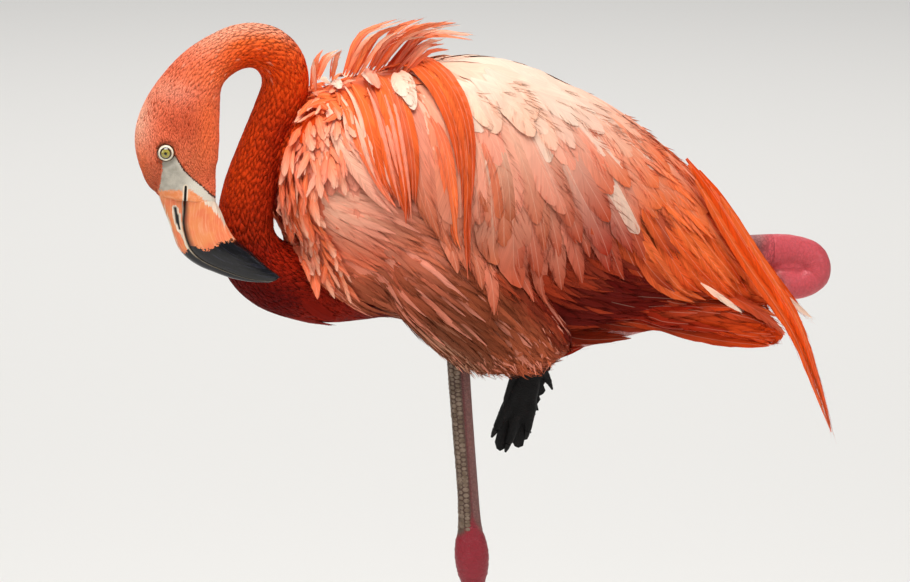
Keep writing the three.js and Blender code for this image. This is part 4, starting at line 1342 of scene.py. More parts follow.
def frontRows(stations, first, last):
    # places for scutes in staggered rows down the front of a limb
    spans = walkedAlong(stations[:, :3])
    index = np.arange(len(stations))
    low, high = np.interp([first, last], index, spans)
    pitch = legSizes["scuteTall"] * 0.98
    rows = []
    for row in range(legSizes["scuteRows"]):
        walked = np.arange(low + pitch * (0.5 if row % 2 else 0), high, pitch)
        t = np.interp(walked, spans, index)
        line = through(stations, t)
        along = unit(through(stations, t + 0.02)[:, :3] - through(stations, t - 0.02)[:, :3])
        side = unit(leftward - dot(leftward, along) * along)
        ahead = np.cross(along, side)
        ahead *= np.sign(1e-9 - ahead[:, :1])
        angle = legSizes["firstRow"] + legSizes["rowStep"] * row
        out = ahead * math.cos(angle) - side * math.sin(angle)
        place = line[:, :3] - side * math.sin(angle) * line[:, 3:4] + ahead * math.cos(angle) * line[:, 4:5]
        rows.append((place, out, along))
    return [np.vstack(part) for part in zip(*rows)]


hockKnob = {"middle": (311, 74, 461.5), "radii": (18.5, 6.5, 14.0)}  # fills the bend of the folded leg


def fillBend(joint):
    # the folded joint and its round end as one skin, with the joint's own tones and map
    old = joint.data
    points, corners = places(old), loopCorners(old)
    tints = np.zeros(len(points) * 4, np.float32)
    old.attributes["tint"].data.foreach_get("color", tints)
    maps = np.zeros(len(corners) * 2, np.float32)
    old.uv_layers["skinMap"].data.foreach_get("uv", maps)
    uv = np.zeros((len(points), 2))
    uv[corners] = maps.reshape(-1, 2)
    latitude, turn = np.linspace(0.05, math.pi - 0.05, 20), np.linspace(0, 2 * math.pi, 32, endpoint=False)
    ball = [np.stack([np.cos(turn) * math.sin(a), np.sin(turn) * math.sin(a),
                      np.full(len(turn), math.cos(a))], 1)
            for a in latitude]
    some, faces = ringSolid(np.array(ball) * hockKnob["radii"] + hockKnob["middle"])
    oldFaces = [tuple(face.vertices) for face in old.polygons]
    faces = oldFaces + [tuple(len(points) + i for i in face) for face in faces]
    joint.data = solidMesh(joint.name, np.vstack([points, some]), faces)
    settled(joint, ("REMESH", {"mode": "VOXEL", "voxel_size": 0.9 * mm}))
    new = relax(joint.data, 3)
    lookup = BVHTree.FromPolygons(points.tolist(), oldFaces)
    nearest = [old.polygons[lookup.find_nearest(Vector(p))[2]].vertices[0] for p in new]
    paint(joint.data, "tint", tints.reshape(-1, 4)[nearest, :3])
    setUv(joint.data, "skinMap", uv[nearest][loopCorners(joint.data)])
    joint.data.shade_smooth()
    joint.data.materials.clear()
    joint.data.materials.append(old.materials[0])


def scuteMaterial():
    # pale horn of the scutes: dry, dull, faintly cloudy
    material, tree, surface = newMaterial("paleLegScute", **{"Roughness": 0.5, "Specular IOR Level": 0.4})
    place = addNode(tree, "ShaderNodeTexCoord", output="Object")
    cloudy, fine = [
        addNode(tree, "ShaderNodeTexNoise", {"Vector": place, "Scale": 1 / (size * mm), "Detail": detail})
        for size, detail in ((5, 3), (0.5, 2))]
    cloudy = addNode(tree, "ShaderNodeMapRange", [cloudy, 0.35, 0.65], **eased)
    finish(tree, surface, layered(tree, rgba("#67523f"), (cloudy, rgba("#8a7563"))), fine, 0.1)
    return material


def buildLegs():
    bare = legMaterial("dryScaledLegSkin", 2.4, 0.55, 0.35, 0.35)
    knob = legMaterial("crimsonHockSkin", 2.6, 0.42, 0.14, 0.2)
    tree, values = scuteTree(scuteMaterial())
    for side, stations, hock, above, below in legLooks:
        last = len(stations) - 1
        low = side.lower()
        legPiece(f"shin{side}", f"shin_{low}", stations, 0, hock[0] + 0.02, hock, bare)
        joint = legPiece(f"hock{side}", f"hock_{low}", stations, hock[0], hock[1], hock, knob,
                         True)
        if side == "Right":
            fillBend(joint)
        legPiece(f"shank{side}", f"shank_{low}", stations, hock[1] - 0.02, last, hock, bare)
        rows = zip(frontRows(stations, 0.05, hock[0] + above),
                   frontRows(stations, hock[1] + below, last - 0.1))
        setScutes(f"scutes{side}", tree, values, *[np.vstack(part) for part in rows], "leg_skin")
    print("legs")


def softened(name, nodes, voxel, rounds, material):
    # these nodes of the frame as one softened skin
    body = bmesh.new()
    for node in nodes:
        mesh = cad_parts[node].data
        made = [body.verts.new(v.co) for v in mesh.vertices]
        for face in mesh.polygons:
            body.faces.new([made[i] for i in face.vertices])
    bmesh.ops.remove_doubles(body, verts=body.verts, dist=0.01 * mm)
    mesh = bpy.data.meshes.new(name)
    body.to_mesh(mesh)
    body.free()
    item = addObject(name, mesh)
    settled(item, ("REMESH", {"mode": "VOXEL", "voxel_size": voxel * mm}))
    relax(item.data, rounds)
    item.data.shade_smooth()
    item.data.materials.clear()
    item.data.materials.append(material)
    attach(item, "root")
    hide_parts(*nodes)


def footMaterial():
    # dark horny foot skin: dull black, grey where it is scuffed
    material, tree, surface = newMaterial("blackFootSkin", **{"Roughness": 0.6, "Specular IOR Level": 0.2})
    place = addNode(tree, "ShaderNodeTexCoord", output="Object")
    scales = addNode(tree, "ShaderNodeTexVoronoi", {"Vector": place, "Scale": 1 / (1.7 * mm)},
                     feature="DISTANCE_TO_EDGE")
    scuffed, fine = [
        addNode(tree, "ShaderNodeTexNoise", {"Vector": place, "Scale": 1 / (size * mm), "Detail": detail})
        for size, detail in ((5, 4), (0.6, 2))]
    seams = addNode(tree, "ShaderNodeMapRange", [scales, 0.02, 0.2], **eased)
    scuffed = addNode(tree, "ShaderNodeMapRange", [scuffed, 0.55, 0.8, 0.0, 0.4], **eased)
    skinHere = layered(tree, rgba("#0d0b0b"), (scuffed, rgba("#3a2d2b")))
    colour = layered(tree, rgba("#060505"), (seams, skinHere))
    height = addNode(tree, "ShaderNodeMath", [seams, fine], operation="ADD")
    finish(tree, surface, colour, height, 0.3, 0.8)
    return material


def clawMaterial():
    # claw horn: near black, polished along its back
    material, tree, surface = newMaterial("blackClawHorn", **{"Roughness": 0.45, "Specular IOR Level": 0.2})
    place = addNode(tree, "ShaderNodeTexCoord", output="Object")
    cloudy = addNode(tree, "ShaderNodeTexNoise", {"Vector": place, "Scale": 1 / (2 * mm), "Detail": 2})
    cloudy = addNode(tree, "ShaderNodeMapRange", [cloudy, 0.4, 0.7], **eased)
    tree.links.new(layered(tree, rgba("#050404"), (cloudy, rgba("#16120f"))), surface.inputs["Base Color"])
    return material


webOutline = [  # x and z of the folded web's torn edge, seen from the side
    (58, 398), (51.7, 376.8), (50.5, 360), (47.5, 351), (44.5, 341), (46, 335.5), (48.5, 333.5),
    (51.8, 335.5), (54.5, 340.4), (57, 341.6), (59.2, 340.8), (61, 336.5), (63.5, 335.2), (67.9, 336.7),
    (69.4, 341.2), (71.3, 342.0), (72, 345.5), (74.6, 346.9), (73.6, 352), (75.8, 356.3), (75.2, 359.5),
    (78.2, 361), (78, 364.2), (80.6, 364.7), (79.8, 370), (82.5, 373.6), (81.3, 376.5), (84.6, 378),
    (86.6, 380.5), (84.8, 385), (87.2, 389), (85.9, 393), (90, 397.5), (91.9, 403), (75, 410),
]


def foldedWeb(material):
    # the web of the lifted foot, creased together with a torn free edge
    web = {"halfThick": 0.9, "top": 404, "sideways": 23, "lean": 0.36, "crumple": 0.25}
    rng = np.random.default_rng(161)
    front, rear = [], []
    for x, z in webOutline:
        y = web["sideways"] + (web["top"] - z) * web["lean"]
        x = x + (y - 35) * 0.325 + rng.normal(0, web["crumple"])  # the sheet leans outwards as it hangs
        z = z - (y - 35) * 0.185 + rng.normal(0, web["crumple"])
        front.append((x, y - web["halfThick"], z))
        rear.append((x, y + web["halfThick"], z))
    count = len(front)
    faces = [tuple(range(count)), tuple(range(2 * count - 1, count - 1, -1))]
    faces += [(k, k + count, (k + 1) % count + count, (k + 1) % count) for k in range(count)]
    item = addObject("foldedWeb", solidMesh("foldedWeb", np.array(front + rear), faces, False), material)
    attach(item, "root")


def buildFeet():
    black, claw = footMaterial(), clawMaterial()
    for side in ("left", "right"):
        title = side.capitalize()
        toes, claws = [[f"{part}_{toe}_{side}" for toe in ("inner", "middle", "outer", "hind")]
                       for part in ("toe", "claw")]
        softened(f"foot{title}", [f"foot_{side}", *toes], 1.0, 3, black)
        softened(f"claws{title}", claws, 0.35, 2, claw)
    softened("websLeft", ["web_inner_left", "web_outer_left"], 0.45, 2, black)
    foldedWeb(black)
    print("feet")


buildBill()
buildEyes()
buildLegs()
buildFeet()


# the coat, tract by tract, from the lowest layer up
def sidePatch(outline):
    # a region seen from the side, on both flanks
    def wanted(points, normals):
        inside = outlineDistance(points[:, [0, 2]], outline) > 0
        trunk = (neckShare(points) < 0.5) & (breastShare(points) < 0.5)
        return inside & trunk & (normals[:, 1] * points[:, 1] > 0)
    return wanted


def lieOf(anchors, outward=0.5):
    def towards(points):
        out = lie(anchors, points)
        out[:, 1] = np.sign(points[:, 1]) * outward * smoothstep(600, 660, points[:, 2])
        return unit(out)
    return towards


def neckLie(points):
    return -alongSpine(points)[2]


def shortLie(points):
    share = neckShare(points)[:, None]
    return unit(neckLie(points) * share + lieOf(lowerLie)(points) * (1 - share))


def neckCoat():
    velvet = {"spacing": 2.3, "length": 11.5, "halfWidth": 2.0, "lift": 0.34}
    rng = np.random.default_rng(11)

    def wanted(points, normals):
        station = alongSpine(points)[0]
        return ((neckShare(points) > 0.35) & (station < 14.6) & (station > 0.6)) | (breastShare(points) > 0.3)
    roots, normals = scatter(10, velvet["spacing"], wanted)
    station = alongSpine(roots)[0]
    size = 1 - 0.4 * smoothstep(10, 14, station) + 0.5 * breastShare(roots)
    length = velvet["length"] * size * rng.uniform(0.8, 1.2, len(roots))
    lift = velvet["lift"] * rng.uniform(0.6, 1.4, len(roots)) * size
    crown = (normals[:, 2] > 0.3) & (station > 9)  # the tufts stand up a little along the top of the arch
    lift[crown] *= rng.uniform(0.8, 1.8, crown.sum())
    paths, frames = lay(rng, roots, normals, shortLie, length, lift, 0.1, 0.2, 3, 0.06)
    colour = varied(rng, coatTone(roots, normals), 0.03)
    tip = varied(rng, colour, 0.02) * 1.04
    bright = rng.random(len(roots)) < 0.05 * smoothstep(8, 13, station)
    tip[bright] = tip[bright] * 0.6 + tone["shell"] * 0.4
    grow("neckVelvet", paths, frames, velvet["halfWidth"] * size, [tuftTemplate()], colour * 0.97, tip,
         velvetVane, "neck_plumage", seed=12, roll=3, camber=0.06)


def headCoat():
    velvet = {"spacing": 1.25, "length": 4.8, "halfWidth": 1.0, "lift": 0.14}
    rng = np.random.default_rng(21)

    def wanted(points, normals):
        forward, sideways, up = headParts(points)
        lidGap = np.hypot(forward - eyePlace["forward"], up - eyePlace["up"])
        atEye = (lidGap < 6.7) & (np.abs(sideways) > 8)
        return (alongSpine(points)[0] > 14.4) & (bareness(points) < -0.5) & ~atEye & (up > -44)
    roots, normals = scatter(20, velvet["spacing"], wanted)
    forward, _, up = headParts(roots)
    nearBill = smoothstep(-10, -36, up)
    length = velvet["length"] * (1 - 0.35 * nearBill) * rng.uniform(0.8, 1.2, len(roots))
    paths, frames = lay(rng, roots, normals, neckLie, length,
                        velvet["lift"] * rng.uniform(0.6, 1.6, len(roots)), 0.05, 0.2, 3,
                        0.05)
    colour = varied(rng, neckTone(roots, normals), 0.04, tone["rust"] * 0.9, 0.025)
    grow("headVelvet", paths, frames, velvet["halfWidth"], [tuftTemplate()], colour * 0.98, colour * 1.03,
         velvetVane, "neck_plumage", seed=22, roll=1, camber=0.08)


def underCoat():
    down = {"spacing": 8.5, "length": 32.0, "halfWidth": 6.5, "lift": 2.0}
    rng = np.random.default_rng(31)
    roots, normals = scatter(30, down["spacing"], lambda p, n: (neckShare(p) < 0.5) & (breastShare(p) < 0.5))

    def towards(points):
        upper = smoothstep(480, 520, points[:, 2:3])
        return unit(lieOf(lowerLie)(points) * (1 - upper) + lieOf(wingLie)(points) * upper)
    paths, frames = lay(rng, roots, normals, towards, down["length"] * rng.uniform(0.8, 1.2, len(roots)),
                        down["lift"] * rng.uniform(0.6, 1.4, len(roots)), 0.2, 0.4, 4)
    colour = varied(rng, coatTone(roots, normals), 0.05)
    templates = vanes(4, 32, "rounded", 6, 0.25, 3, 0.05)
    grow("underCoat", paths, frames, down["halfWidth"], templates, colour * 0.9, colour, looseVane,
         "body_plumage",
         seed=33, roll=4, camber=0.1)


def bellySilk():
    silk = {"spacing": 4.6, "length": 84.0, "halfWidth": 3.4, "lift": 2.2}
    rng = np.random.default_rng(41)
    outline = [(-136, 548), (-124, 572), (-100, 572), (-70, 552), (-30, 524), (20, 505), (44, 492), (52, 470),
               (74, 440),
               (70, 405), (-20, 405), (-60, 430), (-100, 465), (-140, 510)]
    roots, normals = scatter(40, silk["spacing"], sidePatch(outline))
    length = silk["length"] * rng.uniform(0.5, 1.15, len(roots))
    length = length * (1 - 0.45 * smoothstep(470, 415, roots[:, 2]))
    paths, frames = lay(rng, roots, normals, lieOf(lowerLie), length,
                        silk["lift"] * rng.uniform(0.3, 1.5, len(roots)), 1.6, 0.45, 7,
                        0.07)
    colour = varied(rng, tones(lowerTones, roots), 0.035)
    tip = varied(rng, tones(lowerTones, paths[:, -1]), 0.05, tone["salmon"], 0.1)
    templates = vanes(7, 42, "silk", 8, 0.08, 9, 0.03)
    grow("bellySilk", paths, frames, silk["halfWidth"] * rng.uniform(0.6, 1.3, len(roots)), templates, colour,
         tip, looseVane,
         "body_plumage", seed=43, roll=3, camber=0.05)


def fringe():
    # hair-like ends along the lower edge of the near thigh
    hair = {"spacing": 2.8, "length": 26.0, "halfWidth": 0.75, "lift": 1.6}
    rng = np.random.default_rng(51)

    def wanted(points, normals):
        x, y, z = points.T
        low = (z < 450 + 14 * smoothstep(30, 50, x)) & (x < 64) & (x > -46) & (y < 2)
        return low & (neckShare(points) < 0.5) & (breastShare(points) < 0.3)
    roots, normals = scatter(50, hair["spacing"], wanted)
    length = hair["length"] * rng.uniform(0.4, 1.0, len(roots))
    lift = hair["lift"] * rng.uniform(0.5, 1.5, len(roots))
    lift += 6.5 * rng.random(len(roots)) * smoothstep(440, 422, roots[:, 2])
    steeper = lieOf([(x, z, angle - 14) for x, z, angle in lowerLie])
    paths, frames = lay(rng, roots, normals, steeper, length, lift, 2.2, 0.6, 5, 0.14)
    colour = varied(rng, tones(lowerTones, roots), 0.08, tone["salmon"],
                    0.15 + 0.5 * smoothstep(36, 62, roots[:, 0]))
    templates = vanes(3, 52, "silk", 4, 0.1, 2)
    grow("thighFringe", paths, frames, hair["halfWidth"], templates, colour, colour * 1.12, looseVane,
         "body_plumage", seed=53, roll=20)


def flank():
    soft = {"spacing": 5.6, "length": 52.0, "halfWidth": 3.8, "lift": 2.6}
    rng = np.random.default_rng(61)
    outline = [(30, 512), (70, 520), (150, 505), (220, 480), (240, 430), (150, 424), (70, 424), (40, 440)]
    roots, normals = scatter(60, soft["spacing"], sidePatch(outline))
    paths, frames = lay(rng, roots, normals, lieOf(lowerLie),
                        soft["length"] * rng.uniform(0.6, 1.3, len(roots)),
                        soft["lift"] * rng.uniform(0.4, 1.5, len(roots)), 1.6, 0.4, 6, 0.10)
    colour = varied(rng, tones(lowerTones, roots), 0.06, tone["rust"], 0.05)
    templates = vanes(5, 62, "silk", 7, 0.2, 8, 0.05)
    grow("flankPlumage", paths, frames, soft["halfWidth"], templates, colour * 0.95, colour * 1.1, looseVane,
         "body_plumage",
         seed=63, roll=7, camber=0.12)


def tailFeathers():
    tail = {"spacing": 9.0, "length": 70.0, "halfWidth": 6.0, "lift": 3.6}
    rng = np.random.default_rng(71)

    def wanted(points, normals):
        x, _, z = points.T
        return (x > 100) & (x < 240) & (z < 474) & (neckShare(points) < 0.5)
    roots, normals = scatter(70, tail["spacing"], wanted)
    length = np.minimum(tail["length"] * rng.uniform(0.7, 1.2, len(roots)), 262 - roots[:, 0])
    keep = length > 14
    roots, normals, length = roots[keep], normals[keep], length[keep]
    paths, frames = lay(rng, roots, normals, lieOf(lowerLie), length,
                        tail["lift"] * rng.uniform(0.5, 1.3, len(roots)), 2.0, 0.8, 6,
                        0.07)
    colour = varied(rng, tones(lowerTones, roots), 0.07, tone["brick"], 0.1)
    templates = vanes(5, 72, "lance", 9, 0.25, 10, 0.06)
    grow("tailPlumage", paths, frames, tail["halfWidth"], templates, colour * 0.92, colour * 1.1, wingVane,
         "long_feathers",
         seed=73, roll=7, camber=0.12)


def hangingCoverts():
    broad = {"spacing": 11.5, "lift": 1.8}
    rng = np.random.default_rng(81)
    templates = {"tapered": vanes(8, 82, "tapered", 20, 0.1, 22, 0.04, 0.5),
                 "rounded": vanes(6, 82, "rounded", 18, 0.06, 10, 0.04, 0.7)}
    rows = [  # outline, length, half width, base, look
        ([(-20, 600), (60, 596), (112, 562), (104, 544), (60, 560), (-12, 564)], 92, 8.5, 3.2, "tapered"),
        ([(-40, 622), (50, 624), (122, 590), (116, 562), (56, 590), (-40, 592)], 100, 10.0, 4.2, "tapered"),
        ([(-44, 650), (30, 652), (96, 632), (128, 600), (60, 622), (-44, 622)], 104, 11.5, 5.0, "rounded")]
    for number, (outline, length, half, base, shape) in enumerate(rows):
        seed = 84 + number * 3
        roots, normals = scatter(seed, broad["spacing"], sidePatch(outline))
        size = length * rng.uniform(0.85, 1.12, len(roots))
        paths, frames = lay(rng, roots, normals, lieOf(wingLie), size,
                            broad["lift"] * rng.uniform(0.6, 1.2, len(roots)), base, 0.3, 10,
                            0.035)
        colour = varied(rng, tones(wingTones, roots), 0.025, tone["orange"], 0.05)
        tip = varied(rng, tones(wingTones, paths[:, -1]), 0.035)
        grow(f"coverts{number + 1}", paths, frames, half * rng.uniform(0.8, 1.15, len(roots)),
             templates[shape], colour, tip,
             wingVane, "wing_plumage", seed=seed + 1, roll=3, camber=0.08, barbEdgeLight=0.16)


def backFeathers():
    back = {"spacing": 15.0, "length": 120.0, "halfWidth": 14.5, "lift": 2.0}
    rng = np.random.default_rng(101)

    def wanted(points, normals):
        x, _, z = points.T
        return (x > -52) & (x < 150) & (z > 560) & (normals[:, 2] > 0.42) & (neckShare(points) < 0.5)
    roots, normals = scatter(100, back["spacing"], wanted)
    length = back["length"] * rng.uniform(0.8, 1.15, len(roots))
    length = length * (1 - 0.3 * smoothstep(60, 150, roots[:, 0]))
    # closer and narrower where the far side falls away
    ridge = smoothstep(0.6, 0.9, normals[:, 2]) * smoothstep(-4, 8, roots[:, 1])
    lift = back["lift"] * rng.uniform(0.4, 1.0, len(roots)) * (1 - 0.7 * ridge)
    paths, frames = lay(rng, roots, normals, lieOf(wingLie, 0.42), length, lift, 5.2 * (1 - 0.75 * ridge),
                        0.25, 10,
                        0.02, 0.1)
    pale = smoothstep(96, 60, roots[:, 0])
    colour = varied(rng, tones(wingTones, roots), 0.02, tone["cream"], 0.25 * pale)
    tip = varied(rng, tones(wingTones, paths[:, -1]), 0.03, tone["cream"], 0.3 * pale)
    templates = vanes(6, 102, "rounded", 16, 0.05, 0, 0.04)
    grow("backPlumage", paths, frames,
         back["halfWidth"] * rng.uniform(0.85, 1.15, len(roots)) * (1 - 0.5 * ridge), templates, colour, tip,
         wingVane, "wing_plumage", seed=103, roll=1.0, camber=0.16)


def tertialFeathers():
    narrow = {"spacing": 9.5, "length": 100.0, "halfWidth": 5.6, "lift": 4.5}
    rng = np.random.default_rng(111)
    outline = [(100, 604), (122, 575), (112, 552), (112, 522), (170, 500), (222, 478), (246, 500), (200, 555),
               (140, 612)]
    roots, normals = scatter(110, narrow["spacing"], sidePatch(outline))
    length = np.minimum(narrow["length"] * rng.uniform(0.6, 1.2, len(roots)), 40 + (292 - roots[:, 0]) * 0.62)
    paths, frames = lay(rng, roots, normals, lieOf(wingLie), length,
                        narrow["lift"] * rng.uniform(0.5, 1.3, len(roots)), 4.0, 0.45, 8,
                        0.06)
    # brightened by 1.12 and 1.15: painted light that makes up for the dim light on this part of the wing
    colour = varied(rng, tones(wingTones, roots), 0.05, tone["orange"], 0.35) * 1.12
    tip = varied(rng, tones(wingTones, paths[:, -1]), 0.06, tone["orange"], 0.45) * 1.15
    templates = vanes(7, 112, "lance", 12, 0.2, 14, 0.05, 0.4)
    grow("tertialPlumage", paths, frames, narrow["halfWidth"] * rng.uniform(0.7, 1.25, len(roots)), templates,
         colour, tip,
         lanceVane, "wing_plumage", seed=113, roll=7, camber=0.14)


def onFlank(places2d, side):
    # the points of a side view, set on one flank
    # the far wing's feathers start a little below the ridge of the back
    far = {"drop": 9, "from": 625, "full": 645}
    found = []
    for x, z in places2d:
        low = z - far["drop"] * smoothstep(far["from"], far["full"], z) if side > 0 else z
        hit = skinTree.ray_cast(Vector((x, side * 200, low)), Vector((0, -side, 0)))[0]
        found.append(tuple(hit) if hit is not None else (x, side * 12, z))
    return ontoSkin(np.array(found))


def drape(rng, guide, count, half, spread, base, lift):
    # feathers side by side along one line of the flank, on both wings
    guide = np.array(guide, float)
    steps = 10
    paths, frames, widths = [], [], []
    for side in (-1, 1):
        for k in range(count):
            start, end = rng.uniform(0, 0.25), rng.uniform(0.66, 1.0)  # shares of the line
            t = np.linspace(start, end, steps)
            line = through(guide, t * (len(guide) - 1))
            ahead = unit(np.gradient(line, axis=0))
            across = np.stack([ahead[:, 1], -ahead[:, 0]], 1)
            place = ((k + 0.5) / count * 2 - 1) * spread + rng.normal(0, spread * 0.12)
            line = line + across * (place * (1 - 0.6 * t**2))[:, None]
            near, normal = onFlank(line, side)
            share = np.linspace(0, 1, steps)[:, None]
            height = base + rng.uniform(-0.8, 0.8) + lift * rng.uniform(0.5, 1.3) * share**1.2
            height = height - 1.5 * np.maximum(0, 0.3 - share) / 0.3  # the root is tucked in
            if side > 0:
                height *= 0.25 + 0.75 * smoothstep(0, 0.3, share)
            paths.append(near + normal * height)
            frames.append(normal)
            widths.append(half * rng.uniform(0.8, 1.2))
    return paths, frames, widths


shoulderBands = {  # guide down the flank, feathers, half width, spread, base, tones
    "lance": [
        ([(-44, 640), (-40, 625), (-37, 605), (-33, 585), (-30, 559), (-27, 530)], 5, 6.5, 8, 4.4, "shell",
         "salmon"),
        ([(-62, 640), (-56, 622), (-52, 597), (-50, 571), (-42, 544), (-32, 517), (-27, 500)], 5, 7.0, 9, 5.2,
         "salmon", "clay"),
        ([(-106, 634), (-105, 603), (-95, 583), (-82, 562), (-66, 545)], 5, 5.0, 8, 5.0, "shell", "salmon"),
        ([(-98, 640), (-94, 610), (-88, 590), (-78, 567), (-66, 548)], 4, 3.4, 7, 5.8, "orange", "coral"),
        ([(-84, 646), (-82, 618), (-80, 596), (-75, 572), (-66, 550), (-59, 532)], 5, 4.2, 7, 6.4, "orange",
         "ember"),
        ([(-74, 654), (-67, 640), (-66, 622), (-63, 596), (-61, 571), (-60, 534)], 7, 4.6, 8, 7.0, "orange",
         "ember"),
        ([(-92, 640), (-90, 615), (-86, 590), (-78, 566), (-68, 545)], 4, 2.4, 8, 6.6, "shell", "salmon"),
        ([(-74, 648), (-73, 622), (-71, 596), (-67, 571), (-62, 540)], 4, 2.0, 9, 8.0, "salmon", "coral"),
        ([(-42, 622), (-35, 600), (-30, 572), (-25, 536), (-20, 500)], 3, 3.4, 4, 7.0, "coral", "orange"),
        ([(-66, 660), (-48, 657), (-34, 646), (-26, 628), (-21, 604), (-19, 575), (-19, 540), (-18, 495)], 4,
         4.0, 6, 7.8, "orange", "ember"),
        ([(-62, 660), (-42, 656), (-27, 647), (-18, 630), (-14, 606), (-14, 580), (-15, 545), (-17, 490)], 6,
         4.2, 6, 8.4, "orange", "ember"),
    ],
    "rounded": [
        ([(-8, 640), (-9, 608), (-8, 569), (0, 542), (8, 508)], 4, 8.0, 7, 5.4, "salmon", "clay"),
        ([(-2, 632), (4, 600), (12, 569), (15, 532), (16, 496)], 3, 9.5, 6, 5.8, "shell", "clay"),
        ([(-53, 646), (-54, 640), (-55, 630), (-53, 612)], 3, 6.0, 4, 8.6, "shell", "cream"),
        ([(-74, 648), (-75, 640), (-75, 628)], 2, 4.4, 3, 8.8, "shell", "cream"),
        ([(-98, 646), (-99, 638), (-100, 630)], 2, 3.6, 3, 8.0, "shell", "cream"),
        ([(-12, 646), (-4, 634), (2, 618), (9, 597)], 3, 9.5, 7, 6.6, "cream", "shell"),
        ([(-6, 650), (14, 636), (30, 620), (42, 598)], 3, 11.5, 8, 7.4, "cream", "shell"),
    ],
}


def shoulderLances():
    rng = np.random.default_rng(121)
    templates = {"lance": vanes(6, 122, "lance", 16, 0.1, 18, 0.05),
                 "rounded": vanes(6, 132, "rounded", 16, 0.08, 24, 0.05)}
    looks = {"shoulderLances": ("lance", lanceVane), "shoulderBroad": ("rounded", wingVane)}
    for name, (shape, material) in looks.items():
        paths, frames, widths, roots, tips = [], [], [], [], []
        for guide, count, half, spread, base, rootTone, tipTone in shoulderBands[shape]:
            made = drape(rng, guide, count, half, spread, base, 1.4)
            for held, new in zip((paths, frames, widths), made):
                held.extend(new)
            roots += [tone[rootTone]] * len(made[0])
            tips += [tone[tipTone]] * len(made[0])
        colour = varied(rng, np.array(roots), 0.06, tone["coral"], 0.12)
        tip = varied(rng, np.array(tips), 0.08, tone["coral"], 0.12)
        grow(name, paths, frames, widths, templates[shape], colour, tip,
             material, "wing_plumage", seed=123, roll=5, camber=0.14, barbEdgeLight=0.18)


def ruffFeathers():
    ruff = {"spacing": 5.2, "length": 25.0, "halfWidth": 3.3, "lift": 4.6}
    rng = np.random.default_rng(131)
    outline = [(-156, 612), (-152, 575), (-147, 545), (-134, 512), (-112, 499), (-104, 506), (-118, 532),
               (-130, 552), (-129, 572),
               (-112, 592), (-102, 616), (-94, 645), (-104, 665), (-150, 655)]
    roots, normals = scatter(130, ruff["spacing"], sidePatch(outline))
    length = ruff["length"] * rng.uniform(0.6, 1.5, len(roots))
    paths, frames = lay(rng, roots, normals, lieOf(wingLie), length,
                        ruff["lift"] * rng.uniform(0.2, 1.5, len(roots)), 4.0, 0.4, 6,
                        0.3)
    # brightened by 1.1 and 1.05: painted light that makes up for dimmer light on the ruff
    colour = varied(rng, tones(wingTones, roots), 0.06, tone["orange"], 0.75) * 1.1
    tip = varied(rng, tones(wingTones, roots), 0.08, tone["shell"], 0.6) * 1.05
    templates = [vaneTemplate(132 + k, "rounded" if k % 2 else "tapered", 10, 0.35, 16, 0.08, 0.35)
                 for k in range(8)]
    grow("ruffPlumage", paths, frames, ruff["halfWidth"] * rng.uniform(0.6, 1.4, len(roots)), templates,
         colour, tip,
         lanceVane, "wing_plumage", seed=133, roll=18, camber=0.3, toneBend=1.6, barbEdgeLight=0.25)


crestGuides = [  # root, bend and tip of each tuft of the ruffled crest, x and z
    ((-119, 644), (-118, 657), (-114, 668)), ((-114, 651), (-107, 660), (-97, 667)),
    ((-105, 652), (-102, 660), (-98, 664)), ((-92, 654), (-76, 676), (-42, 687)),
    ((-87, 652), (-67, 672), (-46, 680)), ((-76, 655), (-61, 672), (-35, 679)),
    ((-67, 656), (-39, 678), (1, 683)), ((-57, 656), (-28, 676), (11, 675)),
    ((-50, 654), (-33, 667), (-16, 672)), ((-42, 652), (-35, 662), (-26, 667)),
    ((-72, 658), (-50, 677), (-20, 685)), ((-54, 656), (-31, 671), (-17, 674)),
]


def crestFeathers():
    crest = {"middle": -13, "halfSpread": 15, "rootDepth": 8, "steps": 8}
    rng = np.random.default_rng(141)
    steps = crest["steps"]
    paths, frames, widths = [], [], []
    for root, bend, tip in crestGuides:
        for k in range(5 if math.dist(root, tip) > 30 else 3):
            y = crest["middle"] + rng.uniform(-crest["halfSpread"], crest["halfSpread"])
            reach = rng.uniform(0.6, 1.0) if k else 1.0
            guide = [(root[0], y, root[1] - crest["rootDepth"]), (bend[0], y * 1.2, bend[1]),
                     (tip[0], y * 1.4, tip[1])]
            line = through(guide, np.linspace(0, 2 * reach, steps))
            stray = np.array([rng.normal(0, 2.5), rng.normal(0, 4), rng.normal(0, 2.5)])
            paths.append(line + np.linspace(0, 1, steps)[:, None] * stray)
            facing = [rng.normal(0, 0.5), -0.8 * np.sign(y - crest["middle"]) + rng.normal(0, 0.3), 0.6]
            frames.append(np.tile(unit(np.array(facing)), (steps, 1)))
            widths.append(rng.uniform(1.6, 3.4))
    count = len(paths)
    colour = varied(rng, np.tile(tone["orange"], (count, 1)), 0.06, tone["coral"], 0.3)
    tip = varied(rng, np.tile(tone["shell"], (count, 1)), 0.06, tone["orange"], 0.55)
    templates = vanes(5, 142, "lance", 10, 0.25, 9, 0.06)
    grow("crestPlumage", paths, frames, widths, templates, colour, tip,
         lanceVane, "long_feathers", seed=143, roll=18, replaces=("crest",), camber=0.2)


plumeGuides = {
    -1: [(176, -40, 572), (196, -42, 545), (212, -42, 520), (234, -43, 486), (254, -43, 457), (269, -43, 432),
         (279, -42, 408), (291, -41, 375), (300, -40, 348)],
    1: [(180, 36, 570), (200, 38, 544), (222, 39, 518), (248, 40, 490), (264, 41, 474), (280, 42, 458),
        (297, 42, 440), (310, 42, 427)],
}


